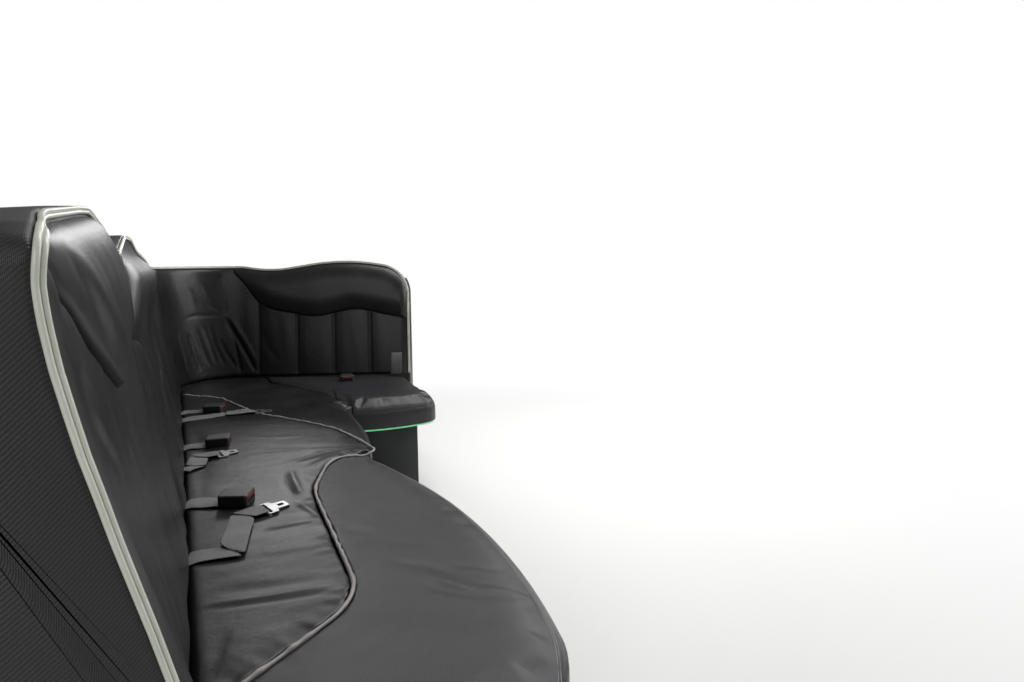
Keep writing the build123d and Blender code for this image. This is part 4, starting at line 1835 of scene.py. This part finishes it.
CORNER_PLEATS = creases(
    ((-76, 880), (-68, 780), (-65, 690), (5.0, 5, 0.12)),
    ((-65, 690), (-46, 600), (-20, 430), (6.0, 6, 0.12)),
    ((-62, 672), (-22, 569), (43, 436), (7.0, 6, 0.12)),
    ((-56, 690), (-8, 590), (52, 470), (-3.0, 9, 0.2)),
    ((-213, 697), (-160, 702), (-66, 697), (3.0, 5, 0.3)),
    ((-124, 751), (-96, 728), (-68, 700), (2.4, 5, 0.3)),
    ((-175, 830), (-168, 780), (-165, 727), (1.6, 7, 0.3)),
    ((-128, 850), (-118, 790), (-106, 745), (1.4, 8, 0.3)),
    ((-147, 669), (-131, 590), (-113, 480), (4.0, 6, 0.2)),
    ((-126, 669), (-111, 570), (-80, 465), (4.0, 6, 0.2)),
    ((-172, 660), (-161, 570), (-136, 470), (3.5, 6, 0.2)),
    ((-96, 600), (-74, 530), (-34, 452), (4.0, 6, 0.2)),
    ((-205, 640), (-195, 550), (-178, 460), (3.0, 8, 0.2)),
    ((-260, 660), (-255, 560), (-250, 460), (2.6, 9, 0.2)),
    ((60, 650), (90, 560), (150, 470), (1.6, 16, 0.3)),
    shift=(SEAT.front_start / MM, -SEAT.seat / MM))


def under_piping(along: Array) -> Array:
    """Return the rise of the line just under the piping."""
    return SEAT.top(along) - PAD_INSET


def near_foot(along: Array) -> Array:
    """Return the near bolster's lower edge: the crease, then the valley beside the far bolster."""
    crease = SIDE_CREASE.at(along)
    return np.where(along > 0.635, np.maximum(crease, VALLEY.at(along)), crease)


def far_top(along: Array) -> Array:
    """Return the far bolster's upper edge: the valley beside the near bolster, then the piping."""
    high = under_piping(along)
    return np.where(along < 1.0, np.minimum(high, VALLEY.at(along) - 0.002), high)


def near_thickness(along: Array, rise: Array) -> Array:
    """Return the near bolster's full thickness: fullest over its tip, thinner at both ends."""
    return np.interp(along, (0.02, 0.12, 0.25, 0.45, 0.60, 0.75, 0.95),
                     (0.010, 0.022, 0.027, 0.027, 0.023, 0.017, 0.010)) + 0.0 * rise


def far_thickness(along: Array, rise: Array) -> Array:
    """Return the far bolster's full thickness: a roll at half a metre up, flat near its top edge."""
    roll = 0.005 * ease((0.58 - rise) / 0.12) + 0.031 * bell(rise - 0.49, np.where(rise > 0.49, 0.040, 0.085))
    return roll * (1.0 - 0.22 * ease((along - 1.45) / 0.45)) * (0.72 + 0.28 * ease((along - 0.80) / 0.30))


def front_thickness(along: Array, rise: Array) -> Array:
    """Return the front bolster's full thickness, the same all along."""
    return np.full(np.broadcast_shapes(along.shape, rise.shape), 0.034)


def bolsters() -> list[Bolster]:
    """List the three bolsters of the back.

    Returns:
        The bolsters.
    """
    start = SEAT.front_start
    return [
        Bolster("near_bolster_roll", "near_bolster", 0.0090, 0.960, near_foot, under_piping,
                near_thickness, ends=(0.040, 0.20), folds=BOLSTER_FOLDS, seed=31),
        Bolster("far_bolster_roll", "far_bolster", 0.640, 1.880, SIDE_CREASE.at, far_top, far_thickness,
                under=0.05, over=0.030, step=0.030, ends=(0.08, 0.10),
                folds=FAR_BOLSTER_FOLDS, seed=32, columns=240),
        Bolster("front_bolster_roll", "front_bolster", start - 0.070, SEAT.length - 0.0090,
                FRONT_CREASE.at, under_piping, front_thickness, under=0.09, over=0.085, ends=(0.05, 0.03),
                seed=33, columns=200),
    ]


@dataclass(frozen=True)
class BackWrap:
    """The vinyl that wraps the back: its front, its top, its rear and the near end's panel."""

    round_front: float = 0.008
    round_rear: float = 0.016
    round_end: Pair = (0.005, 0.019)
    fine_run: float = 0.116
    foot: float = -0.058
    crown: float = 0.002
    fall: float = 0.010
    step: float = 0.010
    rows: int = 26

    def build(self, finishes: Finishes) -> Piece:
        """Make the wrap: one section carried along the back, as tall as the back is there.

        The section climbs the front, turns over the crowned top by a quarter circle at each
        side, and drops to its foot again behind. In the near end's panel it stands on the
        floor, and its front reaches into the cabin. The end turns in by a quarter circle.

        Args:
            finishes: the seat's finishes.

        Returns:
            The wrap.
        """
        turn = np.linspace(0.0, math.pi / 2.0, 7)[:, None]
        last = SEAT.length - SEAT.end_panel - 0.0005
        depth, _, _ = self.profile()
        front, rear = self.round_end
        radius = (front + (rear - front) * depth / depth.max())[None, :]
        panel = radius + (SEAT.end_panel - radius) * np.linspace(0.25, 1.0, 4)[:, None]
        rest = np.concatenate([np.linspace(SEAT.end_panel + 0.0006, self.fine_run, 36),
                               np.arange(self.fine_run + 0.004, last, self.step), [last]])
        rest = np.repeat(rest[:, None], len(depth), 1)
        along = np.concatenate([radius * (1.0 - np.cos(turn)), panel, rest])
        out, rise = self.section(along)
        for k, inset in enumerate(radius * (1.0 - np.sin(turn))):
            normal = to_right(np.stack([np.gradient(out[k]), np.gradient(rise[k])], 1))
            out[k], rise[k] = out[k] - inset * normal[:, 0], rise[k] - inset * normal[:, 1]
        piece = bridged("back_wrap", SEAT.place(along, rise, out))
        piece.data.set_sharp_from_angle(angle=math.radians(38.0))
        lay_uv(piece, around_back)
        finishes.dress(piece, Slot.VINYL, "side_back_shell", "corner_back_shell", "front_back_shell",
                       "near_end_panel")
        return piece

    def profile(self) -> tuple[Array, Array, Array]:
        """Work out the wrap's section for a back of any height.

        Returns:
            Each point's depth behind the face, share of the height, and drop below the top.
        """
        quarter = np.linspace(0.0, math.pi / 2.0, 6)
        front, rear, rows = self.round_front, self.round_rear, self.rows
        width = SEAT.depth - SEAT.set_back
        cross = np.linspace(0.0, 1.0, 11)[1:-1]
        depth = np.concatenate([np.zeros(rows), front * (1 - np.cos(quarter)),
                                front + cross * (width - front - rear),
                                width - rear * (1 - np.sin(quarter)), np.full(11, width)])
        share = np.concatenate([np.linspace(0.0, 1.0, rows), np.ones(6 + 9 + 6), np.linspace(1.0, 0.0, 11)])
        drop = np.concatenate([np.full(rows, front), front * (1 - np.sin(quarter)),
                               self.fall * cross - self.crown * np.sin(cross * math.pi),
                               self.fall + rear * (1 - np.cos(quarter)), np.full(11, self.fall + rear)])
        return depth, share, drop

    def section(self, along: Array) -> tuple[Array, Array]:
        """Work out the wrap's section.

        Args:
            along: rows of distances along the back, one for each point of the section.

        Returns:
            The points' distances out and up.
        """
        depth, share, drop = self.profile()
        width = SEAT.depth - SEAT.set_back
        panel = along <= SEAT.end_panel + 1e-6
        foot = np.where(panel, -SEAT.seat, self.foot)
        rise = foot + share * (SEAT.top(along) - drop - foot)
        face = SEAT.face_out(along, np.maximum(rise, self.foot))
        edge = np.where(panel, np.maximum(face, SEAT.end_edge(rise)), face)
        back = -SEAT.depth * np.ones_like(rise)
        return edge + (back - edge) * depth / width, rise


@dataclass(frozen=True)
class Piping:
    """The pale double bead that edges the back, from the near end's foot to the right end's foot."""

    bead: float = 0.0024
    inset: float = 0.0045
    roll: float = math.radians(42.0)
    roll_run: Pair = (0.0045, 0.0745)
    sides: int = 12

    def route(self) -> tuple[Array, Array, Array]:
        """Work out the line between the beads.

        Returns:
            Distances along, up and out.
        """
        line = SEAT.top_line()
        foot = SEAT.pad_rise
        line = resample(np.concatenate([[[0.0, foot]], line[1:-1], [[SEAT.length, foot]]]), 0.004)
        inner = to_right(np.gradient(line, axis=0))
        along, rise = (line + inner * self.inset).T
        face = SEAT.face_out(along, rise)
        reach = np.maximum(SEAT.end_edge(rise) - face, 0.0)
        return along, rise, face + reach * (1.0 - ease((along - 0.006) / 0.02))

    def build(self, finishes: Finishes) -> list[Piece]:
        """Make the two beads, each a tube along the route moved to one side of it.

        On the near end the pair is rolled round the route, so that one bead lies on the panel.

        Args:
            finishes: the seat's finishes.

        Returns:
            Both beads.
        """
        along, rise, front = self.route()
        side = -to_right(np.gradient(np.stack([along, rise], 1), axis=0))
        angle = np.linspace(0.0, 2.0 * math.pi, self.sides, endpoint=False)
        made = []
        roll = (self.roll * (1.0 - step_up(along, self.roll_run)))[:, None]
        for number, shift in enumerate((-self.bead, self.bead)):
            flat_ring = (shift + self.bead * np.cos(angle))[None, :]
            proud = (self.bead * np.sin(angle))[None, :]
            across = flat_ring * np.cos(roll) + proud * np.sin(roll)
            out = front[:, None] + 0.9 * self.bead + 0.8 * self.bead * np.sin(roll)
            out = out + proud * np.cos(roll) - flat_ring * np.sin(roll)
            across = side[:, None, :] * across[..., None]
            points = SEAT.place(along[:, None] + across[..., 0], rise[:, None] + across[..., 1], out)
            made.append(tube(f"piping_bead_{number + 1}", points))
        finishes.dress(made[0], Slot.PIPING, "side_welt", "corner_welt", "front_welt", "near_end_welt")
        finishes.dress(made[1], Slot.PIPING)
        return made


# Base and belts


@dataclass(frozen=True)
class Base:
    """The boards, the wrapped band, panels, light strips and brackets under and round the cushions."""

    band_edge: float = 0.002
    tuck: float = 0.007
    board_drop: float = 0.035
    panel_edge: float = 0.004

    def build(self, finishes: Finishes) -> None:
        """Wrap the band and the end panel, and give every solid that stays its finish.

        Args:
            finishes: the seat's finishes.
        """
        band = copy_of("side_fascia", "side_fascia_wrap")
        points = coordinates(band)
        points[:, 2] += self.tuck * (points[:, 2] > points[:, 2].max() - 0.001)
        set_coordinates(band, slimmed(points))
        round_edges(band, self.band_edge)
        bake(band)
        lay_uv(band, around_nose)
        finishes.dress(band, Slot.VINYL, "side_fascia")
        strip = copy_of("side_light_strip", "side_light_tube")
        set_coordinates(strip, slimmed(coordinates(strip)))
        finishes.dress(strip, Slot.STRIP, "side_light_strip")
        panel = copy_of("right_end_panel", "right_end_panel_wrap")
        round_edges(panel, self.panel_edge)
        bake(panel)
        lay_uv(panel, upright_chart)
        finishes.dress(panel, Slot.VINYL, "right_end_panel")
        for node in ("side_back_board", "corner_back_board", "front_back_board"):
            board = copy_of(node, node + "_ply")
            points = coordinates(board)
            _, along = SEAT.from_foot(points)
            points[:, 2] = np.minimum(points[:, 2], SEAT.top(along) + SEAT.seat - self.board_drop)
            set_coordinates(board, points)
            finishes.dress(board, Slot.PLYWOOD, node)
        kept = {
            Slot.PLYWOOD: ("side_seat_board", "front_seat_board", "side_ribs", "front_ribs"),
            Slot.CARPET: ("side_kick_panel", "front_kick_panel"),
            Slot.STRIP: ("front_light_strip",),
            Slot.ZINC: ("floor_brackets",),
            Slot.PLASTIC: ("belt_buckles",),
            Slot.BUTTON: ("belt_buttons",),
            Slot.STEEL: ("belt_tongues",),
        }
        for slot, nodes in kept.items():
            for node in nodes:
                finishes.repaint(node, slot)


@dataclass(frozen=True)
class Strap:
    """A strap of webbing that lies on a bench and may fold over on itself.

    It starts at a distance along the back, heading so many degrees from straight out. Each leg
    is a length in millimetres, and each turn between two legs is in degrees. At a turn the
    strap folds on the line that halves the turn, and goes on over itself.
    """

    along: float
    heading: float
    legs: tuple[float, ...]
    turns: tuple[float, ...] = ()
    lift: float = 0.0015
    wave: float = 0.0025
    seed: int = 1

    def plan(self, width: float, rows: int = 13, columns: int = 9) -> tuple[Array, Array, Array]:
        """Work out the strap on the bench.

        Each leg's points are its start plus the distance down it, plus the distance across
        it. Both ends of a leg are cut on the fold lines, whose slope is the tangent of half the
        turn, and across changes its sign at each fold.

        Args:
            width: the strap's width.
            rows: how many rows of points each leg has.
            columns: how many points there are across.

        Returns:
            The grids of points as along and out, of the leg's number, and of distance down the strap.
        """
        centre, heading = np.array([self.along * MM, -0.004]), math.radians(self.heading)
        sign, before = 1.0, 0.0
        across = np.linspace(-0.5, 0.5, columns)[None, :] * width
        grids, levels, runs, run = [], [], [], 0.0
        for number, length in enumerate(np.array(self.legs) * MM):
            turn = math.radians(self.turns[number]) if number < len(self.turns) else 0.0
            ahead = np.array([math.sin(heading), math.cos(heading)])
            aside = sign * np.array([math.cos(heading), -math.sin(heading)])
            start = across * before
            after = sign * math.tan(math.pi / 2.0 - turn / 2.0) if turn else 0.0
            end = length + across * (-1.0 / after if after else 0.0)
            share = np.linspace(0.0, 1.0, rows)[:, None]
            down = start + (end - start) * share
            grids.append(centre + down[..., None] * ahead + across[..., None] * aside)
            levels.append(np.full(down.shape, float(number)))
            runs.append(run + down)
            centre, run = centre + length * ahead, run + length
            heading += turn
            sign = -sign if turn else sign
            before = 0.0 if not turn else 1.0 / (-after)
        return np.concatenate(grids), np.concatenate(levels), np.concatenate(runs)


STRAPS = (
    Strap(862, -25, (84,), seed=1),
    Strap(1290, -10, (66,), seed=2),
    Strap(1715, -18, (80,), seed=3),
    Strap(604, -15, (74, 148, 46), (93, -63), seed=4),
    Strap(1085, 35, (34, 62, 46), (45, -70), seed=5),
    Strap(1600, 5, (132, 96), (-17,), seed=6),
)


@dataclass(frozen=True)
class Belts:
    """The seat belts' webbing: straps on both benches and one that leans on the front back."""

    width: float = 0.048
    thick: float = 0.0016
    layer: float = 0.0026
    leaning: Pair = (0.636, 0.100)
    front: Strap = Strap(430, 14, (94,), seed=7)

    def build(self, finishes: Finishes, surface: Surface) -> None:
        """Make every strap.

        Args:
            finishes: the seat's finishes.
            surface: the cushions' height.
        """
        straps = [self.lay(f"strap_{number + 1}", strap, surface) for number, strap in enumerate(STRAPS)]
        start = SEAT.front_start / MM
        front = Strap(start + self.front.along, self.front.heading, self.front.legs, seed=self.front.seed)
        straps += [self.lay("strap_front", front, surface), self.lean()]
        for number, strap in enumerate(straps):
            stands_for = ("belt_webbing",) if number == 0 else ()
            finishes.dress(strap, Slot.WEBBING, *stands_for)

    def lay(self, name: str, strap: Strap, surface: Surface) -> Piece:
        """Lay one strap on the cushions, slightly wavy, each leg a layer above the last.

        Args:
            name: the piece's name.
            strap: the strap.
            surface: the cushions' height.

        Returns:
            The strap's mesh object.
        """
        plan, level, run = strap.plan(self.width)
        flat = SEAT.place(plan[..., 0], 0.0, plan[..., 1])
        x, y = flat[..., 0], flat[..., 1]
        wave = Rumple(70 + strap.seed, 0.035, 0.030).at(run, plan[..., 0])
        height = surface.height(x, y) + strap.lift + level * self.layer + strap.wave * (0.6 + wave)
        return self.ribbon(name, np.stack([x, y, height], -1), run)

    def lean(self) -> Piece:
        """Make the strap that stands on the front bench and leans on the back.

        Returns:
            The strap's mesh object.
        """
        along, rise = self.leaning
        run = np.linspace(0.0, rise, 14)[:, None]
        across = np.linspace(0.0, self.width, 9)[None, :]
        bend = 0.012 * np.sin(run / rise * 2.4) + 0.003 * np.cos(across / self.width * 3.0)
        points = SEAT.face(SEAT.front_start + along + across + 0.05 * run, run + 0.019, 0.021 + bend)
        return self.ribbon("strap_leaning", points, run + 0.0 * across)

    def ribbon(self, name: str, points: Array, run: Array) -> Piece:
        """Make a strap of the webbing's thickness.

        Args:
            name: the piece's name.
            points: a grid of points.
            run: each point's distance down the strap.

        Returns:
            The strap's mesh object.
        """
        rows, columns = points.shape[:2]
        piece = shell_object(name, points.reshape(-1, 3), grid_faces(rows, columns))
        across = np.broadcast_to(np.linspace(0.0, self.width, columns)[None, :], run.shape)
        grid_uv(piece, run.ravel(), across.ravel())
        finish = piece.modifiers.new("thickness", "SOLIDIFY")
        finish.thickness, finish.offset = self.thick, 0.0
        subdivide(piece)
        bake(piece)
        return piece


# Studio


LAMPS = (
    ("overhead", (1.1, 0.3, 2.9), (0.1, 0.1, 0.4), 1.8, 58.0),
    ("cabin_side", (3.0, 0.2, 1.9), (-0.2, 0.0, 0.6), 1.6, 56.0),
    ("far_end", (0.5, 3.8, 2.2), (-0.1, 0.2, 0.5), 0.7, 20.0),
    ("behind", (-1.8, -3.4, 1.9), (-0.3, -1.0, 0.6), 1.6, 32.0),
)


@dataclass(frozen=True)
class Studio:
    """The floor, the soft lights and the camera."""

    eye: Triple = (0.018, -0.480, 0.930)
    yaw: float = 30.5
    pitch: float = 7.96
    lens: float = 19.86
    sensor: float = 36.0
    ambient: float = 0.20
    floor_half: float = 12.0
    fade: Pair = (1.3, 2.6)

    def build(self) -> None:
        """Set the camera, the lamps, the world and the floor."""
        scene = bpy.context.scene
        scene.view_settings.view_transform = "Standard"
        camera = bpy.data.objects.new("camera", bpy.data.cameras.new("camera"))
        camera.data.lens, camera.data.sensor_width = self.lens, self.sensor
        camera.data.clip_start = 0.02
        camera.location = Vector(np.array(self.eye) - ORIGIN)
        camera.rotation_euler = (math.radians(90.0 - self.pitch), 0.0, math.radians(-self.yaw))
        scene.collection.objects.link(camera)
        scene.camera = camera
        for name, place, target, size, power in LAMPS:
            self.lamp(name, place, target, size, power)
        self.world()
        self.floor()

    def lamp(self, name: str, place: Triple, target: Triple, size: float, power: float) -> None:
        """Add a square soft light.

        Args:
            name: the lamp's name.
            place: where it is.
            target: what it is turned to.
            size: the length of its side.
            power: its power in watts.
        """
        light = bpy.data.lights.new(name, "AREA")
        light.size, light.energy = size, power
        lamp = bpy.data.objects.new(name, light)
        lamp.location = place
        lamp.rotation_euler = (Vector(target) - Vector(place)).to_track_quat("-Z", "Y").to_euler()
        bpy.context.scene.collection.objects.link(lamp)

    def world(self) -> None:
        """Make a world that lights the seat softly and is plain white to the camera."""
        world = bpy.data.worlds.new("studio")
        bpy.context.scene.world = world
        g = Graph(world)
        seen = g.math("MAXIMUM", g.add("ShaderNodeLightPath", output="Is Camera Ray"),
                      g.add("ShaderNodeLightPath", output="Is Transmission Ray"))
        strength = self.ambient + seen * (1.0 - self.ambient)
        g.add("ShaderNodeOutputWorld", inputs={"Surface": g.add("ShaderNodeBackground", inputs={
            "Color": (1.0, 1.0, 1.0), "Strength": strength})})

    def floor(self) -> None:
        """Lay a plain pale floor."""
        size = self.floor_half
        corners = np.array([[-size, -size, 0.0], [size, -size, 0.0], [size, size, 0.0], [-size, size, 0.0]])
        floor = shell_object("floor", corners, np.array([[0, 1, 2, 3]]))
        floor.data.materials.append(self.floor_finish())

    def floor_finish(self) -> bpy.types.Material:
        """Make a pale matt finish that fades to plain white away from the seat, for the camera.

        Returns:
            The material.
        """
        g = Graph(bpy.data.materials.new("pale_floor"))
        x, y, _ = g.place().parts()
        far = ((x * x + y * y) ** 0.5).between(*self.fade)
        seen = g.add("ShaderNodeLightPath", output="Is Camera Ray")
        matt = g.add("ShaderNodeBsdfDiffuse", inputs={"Color": (0.80, 0.80, 0.79)})
        white = g.add("ShaderNodeEmission", inputs={"Color": (1.0, 1.0, 1.0)})
        g.add("ShaderNodeOutputMaterial", inputs={"Surface": g.add("ShaderNodeMixShader", inputs={
            0: far * seen, 1: matt, 2: white})})
        return g.owner


def main() -> None:
    """Build the seat's looks in order: studio, base, cushions, back, piping and belts."""
    logging.basicConfig(level=logging.INFO, format="%(message)s")
    Studio().build()
    finishes = Finishes()
    Base().build(finishes)
    surface = Surface([cushion.build(finishes) for cushion in cushions()])
    Edging().build(finishes, surface)
    BackWrap().build(finishes)
    BackPad(folds=CORNER_PLEATS + SIDE_FOLDS).build(finishes)
    for bolster in bolsters():
        bolster.build(finishes)
    Piping().build(finishes)
    Belts().build(finishes, surface)


if __name__ == "__main__":
    main()
